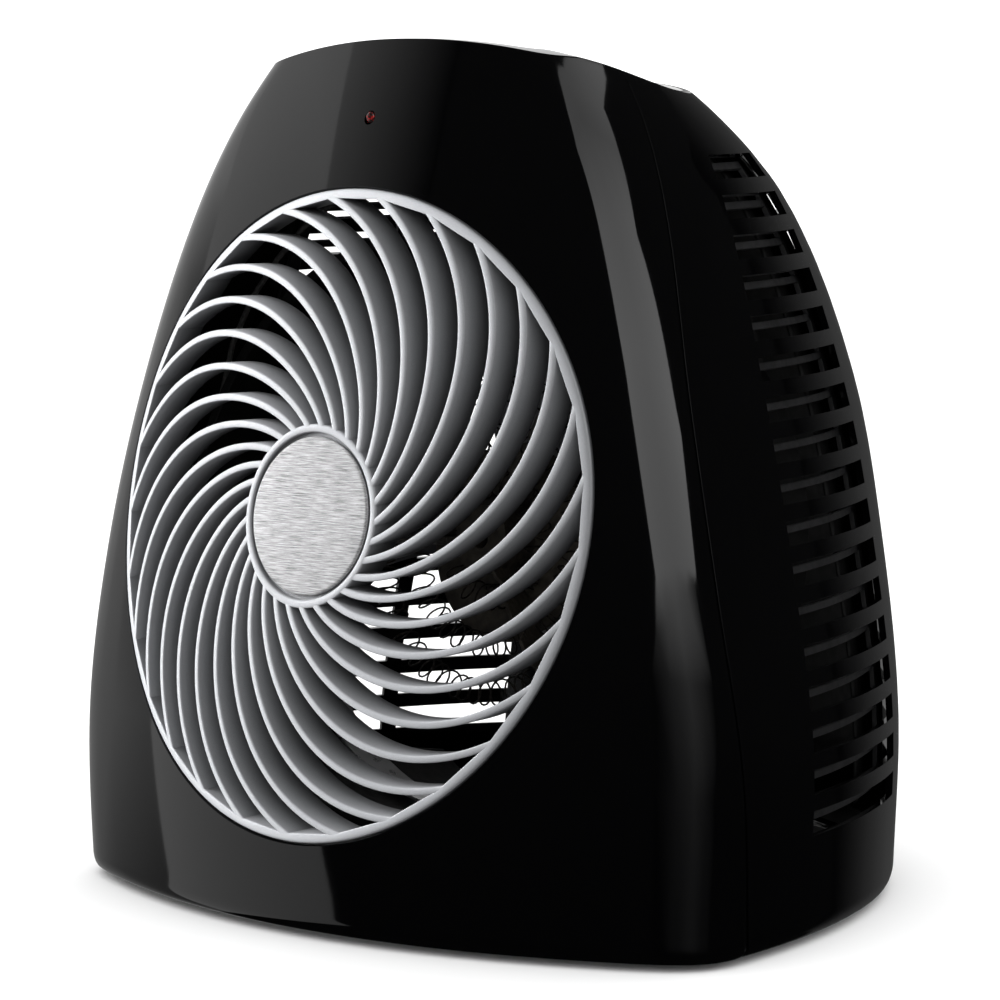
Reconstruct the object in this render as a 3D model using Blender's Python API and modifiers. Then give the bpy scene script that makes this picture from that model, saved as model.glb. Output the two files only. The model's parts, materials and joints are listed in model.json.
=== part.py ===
"""Whole-room fan heater: gloss black two-part housing, round spiral grille, open wire
element, axial fan and top controls.

Metres, +Z up. The front looks along -Y, the origin is under the middle of the housing's
box, on the floor. The air path leans back, so its pieces hang on one empty, "air_axis",
at the middle of the grille: its Z axis points out of the grille, its Y axis up.
"""
import math

import bmesh
import bpy
from mathutils import Vector

# ---------------------------------------------------------------- driving dimensions
R = 0.110                # outer radius of the grille's rim: the housing scales with it
FOOT = 0.0025            # height of the housing's bottom edge above the floor
GRILLE_Z = 0.1432        # height of the grille's centre above the floor
MID_Y = 0.1210           # from the grille's centre back to the origin
GAP = 0.0004             # clearance between neighbouring pieces
WALL = 0.0026            # housing wall

# front face: depth behind the grille's centre, for width u and height v in grille radii
LEAN = 0.179
BOW_UP = 0.088
BOW_SIDE = 0.202
BOW_TAPER = 0.011
CORNER_POWER = 23        # higher is a tighter front corner
REAR_POWER = 2.06        # 2 is an ellipse

# housing sections: height above the bottom edge, half width, depth of the side seam and
# of the back, both behind the grille's centre
STATIONS = (
    (0.000, 0.1510, 0.0490, 0.2425),
    (0.060, 0.1517, 0.0470, 0.2490),
    (0.120, 0.1400, 0.0490, 0.2520),
    (0.180, 0.1240, 0.0565, 0.2465),
    (0.240, 0.1045, 0.0700, 0.2170),
    (0.275, 0.0860, 0.0795, 0.1750),
    (0.310, 0.0560, 0.0900, 0.1060),
)
EDGE = 0.003             # rounding of the housing's bottom edge
ROOF_Z = 0.3040          # top of the front edge, on the centre line
ROOF_ARCH = 0.19         # fall of the roof with width, in grille radii
ROOF_DROP = 0.016        # how far the roof falls towards the back, where it levels off
ROOF_FALL_Y = 0.068      # depth where that fall begins
ROOF_FALL_SPAN = 0.045   # how far it takes, about

# rear intake slots
SLOTS = 17
SLOT_TOP = 0.2621        # upper edge of the highest slot
SLOT_PITCH = 0.01356
SLOT_HEIGHT = 0.0082
SLOT_FRONT_LOW = 0.086   # depth of the slots' front ends, lowest and highest slot
SLOT_FRONT_HIGH = 0.108
REAR_STEPS = (0, 0.155, 0.31, 0.334, 0.43, 0.52, 0.61, 0.76, 0.91, 1)
RIB_STEPS = (2, 5, 8)    # columns between these steps stay whole, as upright ribs
BAND_STEPS = (2, 3, 4, 5, 8)    # the same on the right, where a broad band hides the leads
SLAT_INSET = 0.0066      # the side guards' distance inside the outer face
SLAT_HEIGHT = 0.0025
SLAT_T = 0.0018
GUARD_END_RIGHT = math.radians(38)
GUARD_END_LEFT = math.radians(29)
SHIELD_FAR = 0.0125      # the lead shield's distance inside the outer face, beside the slats
SHIELD_NEAR = 0.0056     # and past them
SHIELD_BEND = (math.radians(42), math.radians(46))
SHIELD_T = 0.001
SHIELD_START = math.radians(34)
SHIELD_END = math.radians(86)
SHIELD_LOW = 0.034
SHIELD_HIGH = 0.268

# grille
FINS = 29
FIN_LAND = 0.0024
FIN_DEPTH = 0.0125
FIN_START = math.radians(-24.3)
RIM_WIDTH = 0.0028
HUB_R = 0.0309
HUB_BORE = 0.0282
HUB_DEPTH = 0.0024       # the hub ring lies this far behind the bowed face
BADGE_DEPTH = 0.0040     # and the badge this far behind the leaning plane
BADGE_T = 0.0012
HUB_FLOOR = 0.0025

# air path, along air_axis (0 at the grille's centre, negative is into the housing)
DUCT_R = 0.100
DUCT_WALL = 0.0018
DUCT_FRONT = -0.046
DUCT_BACK = -0.150
NOTCH = (-150.5, 0.0765, -0.112)    # degrees, width and front end of the duct's side notch
COIL_RADII = (0.0205, 0.0375, 0.0545)
COIL_R = 0.0050
ELEMENT_Z = -0.099
BOARD_T = 0.0014
BOARD_H = 0.016
BOARDS = 3
BOARD_TURN = math.radians(-56)
BOARD_R = 0.0925
RING_R = 0.0965
RING_H = 0.016
SCREEN_R = 0.036         # the mica disc behind the boards, which keeps heat off the motor
SCREEN_T = 0.0012
FAN_Z = -0.123
FAN_R = 0.088
FAN_HUB_R = 0.021
BLADES = 3
BLADE_TURN = math.radians(-77)
BLADE_T = 0.0018
SHAFT_R = 0.003
SHAFT_BORE = SHAFT_R + 0.0003
MOTOR_R = 0.031
MOTOR_FRONT = -0.144
MOTOR_BACK = -0.186
BRACKET_TAB = -0.1085
BRACKET_R = 0.0945        # reach of the motor strap's arms, whose ends bend forward to the duct
BRACKET_ARMS = (("broad", 112, 0.060), ("narrow", -68, 0.024))

# controls
TRAY_Z = 0.2865          # upper face of the knob tray's floor
TRAY_T = 0.0022
KNOB_Y = 0.087           # behind the grille's centre
KNOB_X = 0.023
KNOB_R = 0.0165
KNOB_H = 0.0105
LED_Z = 1.218 * R + GRILLE_Z
LED_R = 0.0020

# base and cord inlet
FOOT_SPOTS = (("front_left", -0.105, -0.088), ("front_right", 0.105, -0.088),
              ("rear_left", -0.088, 0.052), ("rear_right", 0.088, 0.052))
SCREW_SPOTS = (("left", -0.075, -0.080), ("right", 0.075, -0.080), ("rear", 0.0, 0.098))
PLATE_LOW = FOOT + 0.0008
PLATE_TOP = PLATE_LOW + 0.003
SWITCH_Y = 0.060         # tip-over switch
PLUNGER_TIP = 0.0004     # its tip's height above the floor
GLAND_X = -0.060
GLAND_Z = 0.028
GLAND_ANGLE = 115        # the rear angle there, in degrees
GLAND_R = 0.0057

AXIS_TILT = math.pi / 2 - math.atan(LEAN)


# ---------------------------------------------------------------- scene and materials
def clear_scene():
    for item in list(bpy.data.objects):
        bpy.data.objects.remove(item)


def new_collection(name):
    made = bpy.data.collections.new(name)
    bpy.context.scene.collection.children.link(made)
    return made


def material(name, colour, roughness, metallic=0.0):
    made = bpy.data.materials.new(name)
    made.use_nodes = True
    shader = made.node_tree.nodes["Principled BSDF"]
    shader.inputs["Base Color"].default_value = (*colour, 1.0)
    shader.inputs["Roughness"].default_value = roughness
    shader.inputs["Metallic"].default_value = metallic
    return made


clear_scene()
HEATER = new_collection("fan_heater")
CUTTERS = new_collection("cutters")

GLOSS_BLACK = material("gloss_black_shell", (0.008, 0.008, 0.009), 0.08)
MATT_BLACK = material("matt_black_plastic", (0.02, 0.02, 0.022), 0.5)
SILVER = material("silver_paint", (0.55, 0.56, 0.58), 0.32, 0.6)
BRUSHED = material("brushed_aluminium", (0.72, 0.72, 0.73), 0.28, 1.0)
RED_LENS = material("red_lens", (0.6, 0.02, 0.02), 0.15)
RUBBER = material("rubber", (0.03, 0.03, 0.03), 0.8)
STEEL = material("plated_steel", (0.6, 0.6, 0.6), 0.35, 1.0)
MICA = material("mica_board", (0.62, 0.52, 0.36), 0.6)
NICHROME = material("heating_wire", (0.25, 0.22, 0.2), 0.4, 1.0)
CERAMIC = material("ceramic", (0.85, 0.83, 0.78), 0.45)
FAN_PLASTIC = material("fan_plastic", (0.04, 0.04, 0.045), 0.4)
BRASS = material("brass", (0.75, 0.58, 0.25), 0.3, 1.0)
WIRE_SLEEVE = material("wire_sleeve", (0.75, 0.72, 0.66), 0.6)


# ---------------------------------------------------------------- modelling helpers
def link(name, mesh, finish, parent=None, at=(0, 0, 0)):
    made = bpy.data.objects.new(name, mesh)
    HEATER.objects.link(made)
    if finish is not None:
        mesh.materials.append(finish)
    made.parent = parent
    made.location = at
    return made


def as_cutter(item):
    """Move an object to the cutters: it shapes others and isn't a piece itself."""
    HEATER.objects.unlink(item)
    CUTTERS.objects.link(item)
    item.hide_render = True
    item.display_type = 'WIRE'
    return item


def mesh_from(name, shape):
    mesh = bpy.data.meshes.new(name)
    shape.to_mesh(mesh)
    shape.free()
    return mesh


def boolean(item, cutter, operation='DIFFERENCE'):
    step = item.modifiers.new(operation.lower(), 'BOOLEAN')
    step.operation = operation
    step.object = cutter


def turned(name, profile, finish, parent=None, at=(0, 0, 0), steps=32, ring=False):
    """Turn a profile of (radius, height) points about Z; it runs down the outer side."""
    shape = bmesh.new()
    points = [shape.verts.new((radius, 0, height)) for radius, height in profile]
    for first, second in zip(points, points[1:]):
        shape.edges.new((first, second))
    if ring:
        shape.edges.new((points[-1], points[0]))
    item = link(name, mesh_from(name, shape), finish, parent, at)
    screw = item.modifiers.new("turn", 'SCREW')
    screw.angle = math.tau
    screw.steps = steps
    screw.render_steps = steps
    screw.use_merge_vertices = True
    screw.merge_threshold = 0.00001
    return item


def disc_profile(radius, low, high, bevel=0.0):
    """A solid disc or rod, with its outer edges broken by bevel."""
    if bevel == 0.0:
        return [(0, high), (radius, high), (radius, low), (0, low)]
    return [(0, high), (radius - bevel, high), (radius, high - bevel),
            (radius, low + bevel), (radius - bevel, low), (0, low)]


def tube_profile(inner, outer, low, high):
    return [(inner, high), (outer, high), (outer, low), (inner, low)]


def box(name, size, finish, parent=None, at=(0, 0, 0), bevel=0.0, turn_z=0.0):
    shape = bmesh.new()
    bmesh.ops.create_cube(shape, size=1.0)
    bmesh.ops.scale(shape, vec=size, verts=shape.verts)
    item = link(name, mesh_from(name, shape), finish, parent, at)
    item.rotation_euler[2] = turn_z
    if bevel:
        edge = item.modifiers.new("edge", 'BEVEL')
        edge.width = bevel
        edge.segments = 1
    return item


def wire(name, points, radius, finish, parent=None):
    """A round wire through points, with closed ends."""
    curve = bpy.data.curves.new(name, 'CURVE')
    curve.dimensions = '3D'
    curve.bevel_depth = radius
    curve.bevel_resolution = 2
    curve.use_fill_caps = True
    line = curve.splines.new('POLY')
    line.points.add(len(points) - 1)
    for slot, point in zip(line.points, points):
        slot.co = (*point, 1.0)
    curve.materials.append(finish)
    item = bpy.data.objects.new(name, curve)
    HEATER.objects.link(item)
    item.parent = parent
    return item


def smooth_route(route, per_span=3):
    """Points on a smooth curve through the route's own points."""
    route = [Vector(point) for point in route]
    ends = [route[0] * 2 - route[1], *route, route[-1] * 2 - route[-2]]
    found = []
    for a, b, c, d in zip(ends, ends[1:], ends[2:], ends[3:]):
        for step in range(per_span):
            t = step / per_span
            found.append((b * 2 + (c - a) * t + (a * 2 - b * 5 + c * 4 - d) * t * t
                          + (b * 3 - a - c * 3 + d) * t ** 3) / 2)
    return found + [route[-1]]


def grid_mesh(name, rows, kept=None):
    """A sheet of four-sided faces over rows of points; kept(row, column) leaves holes."""
    shape = bmesh.new()
    verts = [[shape.verts.new(point) for point in row] for row in rows]
    for i in range(len(rows) - 1):
        for j in range(len(rows[0]) - 1):
            if kept is None or kept(i, j):
                shape.faces.new((verts[i][j], verts[i][j + 1],
                                 verts[i + 1][j + 1], verts[i + 1][j]))
    loose = [vert for vert in shape.verts if not vert.link_faces]
    bmesh.ops.delete(shape, geom=loose, context='VERTS')
    return mesh_from(name, shape)


def thicken(item, thickness):
    """Give an open sheet a wall, on the side away from its face normals."""
    wall = item.modifiers.new("wall", 'SOLIDIFY')
    wall.thickness = thickness
    wall.offset = -1.0
    wall.use_even_offset = True


def inset_loop(loop, distance):
    """Move a closed outline of (x, y) points inwards; it runs anticlockwise."""
    moved = []
    for before, point, after in zip(loop[-1:] + loop[:-1], loop, loop[1:] + loop[:1]):
        along = (Vector(after) - Vector(before)).normalized()
        moved.append((point[0] - along.y * distance, point[1] + along.x * distance))
    return moved


# ---------------------------------------------------------------- housing surface
def station(height):
    """Half width, seam depth and back depth at a height, on a smooth curve."""
    last = len(STATIONS) - 2
    i = max(k for k in range(last + 1) if k == 0 or STATIONS[k][0] <= height)
    low, high = STATIONS[i], STATIONS[i + 1]
    before, after = STATIONS[max(i - 1, 0)], STATIONS[min(i + 2, last + 1)]
    span = high[0] - low[0]
    t = (height - low[0]) / span
    values = []
    for k in (1, 2, 3):
        slope_low = (high[k] - before[k]) / (high[0] - before[0]) * span
        slope_high = (after[k] - low[k]) / (after[0] - low[0]) * span
        values.append((2 * t ** 3 - 3 * t ** 2 + 1) * low[k] + (t ** 3 - 2 * t ** 2 + t) * slope_low
                      + (3 * t ** 2 - 2 * t ** 3) * high[k] + (t ** 3 - t ** 2) * slope_high)
    return values


def edge_inset(z):
    """How far the bottom edge's rounding pulls the housing in."""
    rise = min((z - FOOT) / (2 * EDGE), 1.0)
    return EDGE * (1 - math.sqrt(1 - (1 - rise) ** 2))


def front_depth(x, z):
    u = x / R
    v = (z - GRILLE_Z) / R
    return R * (LEAN * v + BOW_UP * v * v + (BOW_SIDE + BOW_TAPER * v) * u * u)


def front_point(s, z):
    """A point of the front face; s runs from -1, the left seam, to 1, the right one."""
    half, seam, _ = station(z - FOOT)
    inset = edge_inset(z)
    across = math.sin(s * math.pi / 2)
    x = half * across
    turn = 1 - math.sqrt(max(1 - abs(across) ** CORNER_POWER, 0))
    depth = front_depth(x, z) + (seam - front_depth(half, z)) * turn
    pull = inset * (1 - turn)
    return x - inset * across * turn, depth + pull - MID_Y, z


def rear_point(angle, z):
    """A point of the rear; the angle runs from 0, the right seam, to pi, the left one."""
    half, seam, back = station(z - FOOT)
    inset = edge_inset(z)
    side = abs(math.cos(angle)) ** (2 / REAR_POWER)
    behind = abs(math.sin(angle)) ** (2 / REAR_POWER)
    x = math.copysign((half - inset) * side, math.cos(angle))
    return x, seam + (back - inset - seam) * behind - MID_Y, z


def roof_z(x, y):
    behind = max(y + MID_Y - ROOF_FALL_Y, 0) / ROOF_FALL_SPAN
    return ROOF_Z - ROOF_ARCH * x * x / R - ROOF_DROP * (1 - math.exp(-behind ** 1.5))


def roof_height(point_at):
    """The height where an upright line of the housing meets the roof."""
    low, high = 0.25, 0.312
    for _ in range(30):
        z = (low + high) / 2
        x, y, _ = point_at(z)
        if roof_z(x, y) > z:
            low = z
        else:
            high = z
    return low


def slot_angle(z):
    """The rear angle of the slots' front ends at height z."""
    share = (SLOT_TOP - z) / (SLOTS * SLOT_PITCH)
    depth = SLOT_FRONT_HIGH + (SLOT_FRONT_LOW - SLOT_FRONT_HIGH) * min(max(share, 0), 1)
    half, seam, back = station(z - FOOT)
    behind = min((depth - seam) / (back - seam), 0.999)
    return math.asin(behind ** (REAR_POWER / 2))


def section_loop(z, count=30):
    """The housing's whole outline at height z, anticlockwise from the left seam."""
    front = [front_point(-1 + 2 * k / count, z)[:2] for k in range(count)]
    rear = [rear_point(math.pi * k / count, z)[:2] for k in range(count)]
    return front + rear


# ---------------------------------------------------------------- housing pieces
def make_front_shell():
    columns = [-1 + 2 * k / 24 for k in range(25)]
    levels = (0, 0.006, 0.02, 0.14, 0.28, 0.42, 0.56, 0.70, 0.82, 0.92, 1.0)
    rows = []
    for level in levels:
        row = []
        for s in columns:
            top = roof_height(lambda z, s=s: front_point(s, z))
            row.append(front_point(s, FOOT + (top - FOOT) * level))
        rows.append(row)
    shell = link("front_shell", grid_mesh("front_shell", rows), GLOSS_BLACK)
    thicken(shell, WALL)
    hole = turned("grille_hole", disc_profile(R + 0.0008, -0.06, 0.06), None, steps=64)
    hole.location = (0, -MID_Y + 0.01, GRILLE_Z)
    hole.rotation_euler[0] = math.pi / 2
    boolean(shell, as_cutter(hole))
    led_y = front_point(0, LED_Z)[1]
    led_hole = turned("led_hole", disc_profile(LED_R + GAP, -0.01, 0.01), None, steps=16)
    led_hole.location = (0, led_y, LED_Z)
    led_hole.rotation_euler[0] = math.pi / 2
    boolean(shell, as_cutter(led_hole))
    return shell


def slot_levels():
    """Heights of the rear shell's rows of points, and which rows are slots."""
    heights = [FOOT, FOOT + 0.003, FOOT + 0.006, 0.022]
    slots = []
    for k in reversed(range(SLOTS)):
        upper = SLOT_TOP - k * SLOT_PITCH
        slots.append(len(heights))
        heights += [upper - SLOT_HEIGHT, upper]
    return heights, slots


def rear_columns(z):
    """Rear angles of the columns at height z: plain side, slots and ribs, plain side."""
    front = slot_angle(z)
    seam = 0.0045
    half = [seam + (front - seam) * k / 3 for k in range(3)]
    half += [front + (math.pi / 2 - front) * step for step in REAR_STEPS]
    return half + [math.pi - angle for angle in reversed(half[:-1])]


def in_slot(column, count):
    """Whether a column of the rear shell is open in a slot row."""
    from_side = min(column, count - 1 - column)
    step = from_side - 3
    whole = BAND_STEPS if column < count / 2 else RIB_STEPS
    return step >= 0 and step not in whole


def make_rear_shell():
    heights, slots = slot_levels()
    rows = [[rear_point(angle, z) for angle in rear_columns(z)] for z in heights]
    count = len(rows[0]) - 1
    last = heights[-1]
    for level in (0.33, 0.66, 1.0):
        row = []
        for angle in rear_columns(last):
            top = roof_height(lambda z, a=angle: rear_point(a, z))
            row.append(rear_point(angle, last + (top - last) * level))
        rows.append(row)
    mesh = grid_mesh("rear_shell", rows,
                     lambda i, j: not (i in slots and in_slot(j, count)))
    shell = link("rear_shell", mesh, GLOSS_BLACK)
    thicken(shell, WALL - 0.0002)
    gland = turned("gland_hole", disc_profile(GLAND_R + 0.0005, -0.02, 0.02), None, at=gland_spot(),
                   steps=16)
    gland.rotation_euler = gland_turn()
    boolean(shell, as_cutter(gland))
    return shell


def gland_spot():
    return GLAND_X, rear_point(math.radians(GLAND_ANGLE), GLAND_Z)[1], GLAND_Z


def gland_turn():
    """Turns +Z to point out of the rear shell at the cord's inlet."""
    ahead = Vector(rear_point(math.radians(GLAND_ANGLE + 1), GLAND_Z))
    behind = Vector(rear_point(math.radians(GLAND_ANGLE - 1), GLAND_Z))
    along = (ahead - behind).normalized()
    return Vector((-along.y, along.x, 0)).to_track_quat('Z', 'Y').to_euler()


def make_intake_guard(name, end, mirrored):
    """Thin slats behind the middle of each slot's front part, with an upright at each end."""
    levels = []
    slats = []
    for k in reversed(range(SLOTS)):
        middle = SLOT_TOP - SLOT_HEIGHT / 2 - k * SLOT_PITCH
        slats.append(len(levels))
        levels += [middle - SLAT_HEIGHT / 2, middle + SLAT_HEIGHT / 2]
    shares = (-0.12, 0, 0.5, 1, 1.1)
    rows = []
    for z in levels:
        front = slot_angle(z)
        angles = [front + (end - front) * share for share in shares]
        if mirrored:
            angles = [math.pi - angle for angle in reversed(angles)]
        line = [rear_point(angle, z) for angle in angles]
        rows.append(inset_line(line, [SLAT_INSET] * len(line)))
    uprights = (0, len(shares) - 2)
    mesh = grid_mesh(name, rows, lambda i, j: i in slats or j in uprights)
    thicken(link(name, mesh, MATT_BLACK), SLAT_T)


def make_lead_shield():
    """An upright curved sheet behind the right rear slots, which covers the leads."""
    rows = []
    for k in range(8):
        z = SHIELD_LOW + (SHIELD_HIGH - SHIELD_LOW) * k / 7
        angles = [SHIELD_START + (SHIELD_END - SHIELD_START) * j / 7 for j in range(8)]
        line = [rear_point(angle, z) for angle in angles]
        rows.append(inset_line(line, [shield_inset(angle) for angle in angles]))
    thicken(link("lead_shield", grid_mesh("lead_shield", rows), MATT_BLACK), SHIELD_T)


def shield_inset(angle):
    """How far inside the rear shell's outer face the shield runs at a rear angle."""
    share = (angle - SHIELD_BEND[0]) / (SHIELD_BEND[1] - SHIELD_BEND[0])
    return SHIELD_FAR + (SHIELD_NEAR - SHIELD_FAR) * min(max(share, 0), 1)


def inset_line(line, distances):
    """Move each point of an open line inwards, level; it runs anticlockwise."""
    moved = []
    for k, point in enumerate(line):
        before = Vector(line[max(k - 1, 0)][:2])
        after = Vector(line[min(k + 1, len(line) - 1)][:2])
        along = (after - before).normalized()
        moved.append((point[0] - along.y * distances[k], point[1] + along.x * distances[k],
                      point[2]))
    return moved


def roof_loop(inset):
    """The roof's outline on the housing, pulled in, as (x, y, z) points."""
    count = 16
    flat = []
    for k in range(count):
        s = -1 + 2 * k / count
        flat.append(front_point(s, roof_height(lambda z: front_point(s, z)))[:2])
    for k in range(count):
        angle = math.pi * k / count
        flat.append(rear_point(angle, roof_height(lambda z: rear_point(angle, z)))[:2])
    return [(x, y, roof_z(x, y)) for x, y in inset_loop(flat, inset)]


def make_control_panel():
    """The roof: an arched plate with a sunk tray for the knobs."""
    outer = roof_loop(WALL + GAP)
    centre = Vector((0, KNOB_Y - MID_Y))
    rings = [outer]
    for scale, sunk in ((0.90, 0), (0.80, 0), (0.76, 1), (0.50, 1), (0.25, 1)):
        ring = []
        for x, y, _ in outer:
            spot = centre + (Vector((x, y)) - centre) * scale
            ring.append((spot.x, spot.y, TRAY_Z if sunk else roof_z(spot.x, spot.y)))
        rings.append(ring)
    rows = [ring + ring[:1] for ring in reversed(rings)]
    shape = bmesh.new()
    middle = shape.verts.new((centre.x, centre.y, TRAY_Z))
    loops = [[shape.verts.new(point) for point in row[:-1]] for row in rows]
    count = len(loops[0])
    for j in range(count):
        shape.faces.new((middle, loops[0][j], loops[0][(j + 1) % count]))
        for inner, wider in zip(loops, loops[1:]):
            shape.faces.new((inner[j], wider[j], wider[(j + 1) % count],
                             inner[(j + 1) % count]))
    panel = link("control_panel", mesh_from("control_panel", shape), GLOSS_BLACK)
    thicken(panel, TRAY_T)
    for name, side in (("left", -1), ("right", 1)):
        bore = turned(f"knob_bore_{name}", disc_profile(0.0042, -0.01, 0.01), None, steps=20)
        bore.location = (side * KNOB_X, KNOB_Y - MID_Y, TRAY_Z)
        boolean(panel, as_cutter(bore))


def outline_plate(name, loop, low, high, finish):
    shape = bmesh.new()
    face = shape.faces.new([shape.verts.new((x, y, low)) for x, y in loop])
    grown = bmesh.ops.extrude_face_region(shape, geom=[face])
    top = [item for item in grown["geom"] if isinstance(item, bmesh.types.BMVert)]
    bmesh.ops.translate(shape, vec=(0, 0, high - low), verts=top)
    bmesh.ops.recalc_face_normals(shape, faces=shape.faces)
    return link(name, mesh_from(name, shape), finish)


def make_base():
    loop = inset_loop(section_loop(PLATE_LOW), WALL + 0.0022)
    plate = outline_plate("base_plate", loop, PLATE_LOW, PLATE_TOP, MATT_BLACK)
    port = box("switch_port", (0.0086, 0.0086, 0.02), None, at=(0, SWITCH_Y, PLATE_LOW))
    boolean(plate, as_cutter(port))
    for name, x, y in FOOT_SPOTS:
        turned(f"foot_{name}", [(0, PLATE_LOW - GAP), (0.0095, PLATE_LOW - GAP),
                                (0.0085, 0), (0, 0)], RUBBER, at=(x, y, 0), steps=24)
    for name, x, y in SCREW_SPOTS:
        bore = turned(f"screw_bore_{name}", disc_profile(0.0021, -0.01, 0.01), None,
                      at=(x, y, PLATE_LOW), steps=16)
        boolean(plate, as_cutter(bore))
        turned(f"base_screw_{name}",
               [(0, PLATE_LOW + 0.012), (0.0016, PLATE_LOW + 0.012),
                (0.0016, PLATE_LOW - GAP), (0.0034, PLATE_LOW - GAP),
                (0.0030, PLATE_LOW - 0.0018), (0, PLATE_LOW - 0.0018)],
               STEEL, at=(x, y, 0), steps=16)


# ---------------------------------------------------------------- grille
def spiral(radius):
    """Turn of a fin at a radius: nearly even, steeper at the hub and at the rim."""
    s = radius / R - 0.65
    return math.radians(86 * s + 130 * s ** 3)


def fin_edges(radius, turn_at):
    """Angles of the two edges of a fin at a radius."""
    step = R * 0.01
    slope = (spiral(turn_at + step) - spiral(turn_at - step)) / (2 * step) * turn_at
    half = FIN_LAND / 2 * math.sqrt(1 + slope * slope) / radius
    middle = FIN_START + spiral(turn_at)
    return middle - half, middle + half


def grille_front(radius, angle):
    """A point on the grille's front: flush at the rim, sunk towards the hub."""
    x = radius * math.cos(angle)
    z = GRILLE_Z + radius * math.sin(angle)
    sunk = HUB_DEPTH * max((R - radius) / (R - HUB_R), 0) ** 2
    return x, front_depth(x, z) + sunk - MID_Y, z


def make_grille():
    inner_rim = R - RIM_WIDTH
    fin_rows = [HUB_R + (inner_rim - HUB_R) * k / 6 for k in range(7)]
    shape = bmesh.new()
    depth = shape.verts.layers.float.new("depth")

    def ring(radius, turn_at, floor=False):
        verts = []
        for fin in range(FINS):
            for angle in fin_edges(radius, turn_at):
                angle += math.tau * fin / FINS
                if floor:
                    x = radius * math.cos(angle)
                    height = radius * math.sin(angle)
                    point = (x, BADGE_DEPTH + BADGE_T + GAP + LEAN * height - MID_Y,
                             GRILLE_Z + height)
                else:
                    point = grille_front(radius, angle)
                vert = shape.verts.new(point)
                vert[depth] = HUB_FLOOR if floor else FIN_DEPTH
                verts.append(vert)
        return verts

    floor = ring(HUB_BORE - 0.00005, HUB_R, floor=True)
    rings = [ring(HUB_BORE, HUB_R)]
    rings += [ring(radius, radius) for radius in fin_rows]
    rings.append(ring(R, inner_rim))
    count = 2 * FINS
    shape.faces.new(floor)
    for level, (inner, outer) in enumerate(zip([floor] + rings, rings)):
        whole = level <= 1 or level == len(rings) - 1
        for j in range(count):
            if whole or j % 2 == 0:
                k = (j + 1) % count
                shape.faces.new((inner[j], outer[j], outer[k], inner[k]))
    grown = bmesh.ops.extrude_face_region(shape, geom=shape.faces[:])
    for item in grown["geom"]:
        if isinstance(item, bmesh.types.BMVert):
            item.co.y += item[depth]
    bmesh.ops.recalc_face_normals(shape, faces=shape.faces)
    link("front_grille", mesh_from("front_grille", shape), SILVER)


def make_badge(air):
    flat = math.cos(math.atan(LEAN))
    turned("hub_badge",
           disc_profile(HUB_BORE * flat - 0.0006, -BADGE_T, 0, 0.0003), BRUSHED, air,
           (0, BADGE_DEPTH * math.sin(math.atan(LEAN)), -BADGE_DEPTH * flat), steps=36)


def make_lamp():
    y = front_point(0, LED_Z)[1]
    lens = turned("power_lens", [(0, 0.0), (LED_R * 0.6, -0.0004), (LED_R, -0.0012),
                                 (LED_R, -0.006), (0, -0.006)], RED_LENS, steps=16)
    lamp = box("lamp_holder", (0.009, 0.009, 0.006), MATT_BLACK)
    for item, depth in ((lens, -0.0006), (lamp, 0.0105)):
        item.location = (0, y + depth, LED_Z)
        item.rotation_euler[0] = math.pi / 2


# ---------------------------------------------------------------- air path
def make_duct(air):
    duct = turned("air_duct",
           [(DUCT_R, DUCT_FRONT), (DUCT_R + 0.004, DUCT_FRONT),
            (DUCT_R + 0.004, DUCT_FRONT - 0.002), (DUCT_R + DUCT_WALL, DUCT_FRONT - 0.002),
            (DUCT_R + DUCT_WALL, DUCT_BACK), (DUCT_R, DUCT_BACK)],
           MATT_BLACK, air, steps=40, ring=True)
    degrees, width, front = NOTCH
    turn = math.radians(degrees)
    notch = box("duct_notch", (0.040, width, 0.050), None, air,
                (DUCT_R * math.cos(turn), DUCT_R * math.sin(turn), front - 0.025), turn_z=turn)
    boolean(duct, as_cutter(notch))


def make_element(air):
    turned("element_ring", tube_profile(RING_R, RING_R + 0.001, ELEMENT_Z - RING_H / 2,
                                        ELEMENT_Z + RING_H / 2), STEEL, air, steps=40, ring=True)
    spider = turned("mica_spider", disc_profile(0.012, -BOARD_H / 2, BOARD_H / 2), MICA, air,
                    (0, 0, ELEMENT_Z), steps=24)
    for k in range(BOARDS):
        turn = BOARD_TURN + math.tau * k / BOARDS
        length = BOARD_R - 0.008
        arm = box(f"mica_arm_{k + 1}", (length, BOARD_T, BOARD_H), None, air,
                  (math.cos(turn) * (0.008 + length / 2), math.sin(turn) * (0.008 + length / 2),
                   ELEMENT_Z), turn_z=turn)
        boolean(spider, as_cutter(arm), 'UNION')
    screen = turned("mica_screen", disc_profile(SCREEN_R, -SCREEN_T, 0.0006), None, air,
                    (0, 0, ELEMENT_Z - BOARD_H / 2), steps=30)
    boolean(spider, as_cutter(screen), 'UNION')
    for k, radius in enumerate(COIL_RADII):
        groove = ring_solid(f"coil_groove_{k + 1}", radius, COIL_R + GAP, None, air)
        boolean(spider, as_cutter(groove))
        ring_solid(f"heating_coil_{k + 1}", radius, COIL_R, NICHROME, air)
    for name, turn in (("left", 205), ("right", 335)):
        angle = math.radians(turn)
        stem = turned(f"element_terminal_{name}", [
            (0, 0.012), (0.0016, 0.012), (0.0016, 0.004), (0.0036, 0.004), (0.0036, -0.006),
            (0.0016, -0.006), (0.0016, -0.014), (0, -0.014)], CERAMIC, air,
            (0.0885 * math.cos(angle), 0.0885 * math.sin(angle), ELEMENT_Z + 0.018), steps=14)
        stem.rotation_euler[2] = angle


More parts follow.
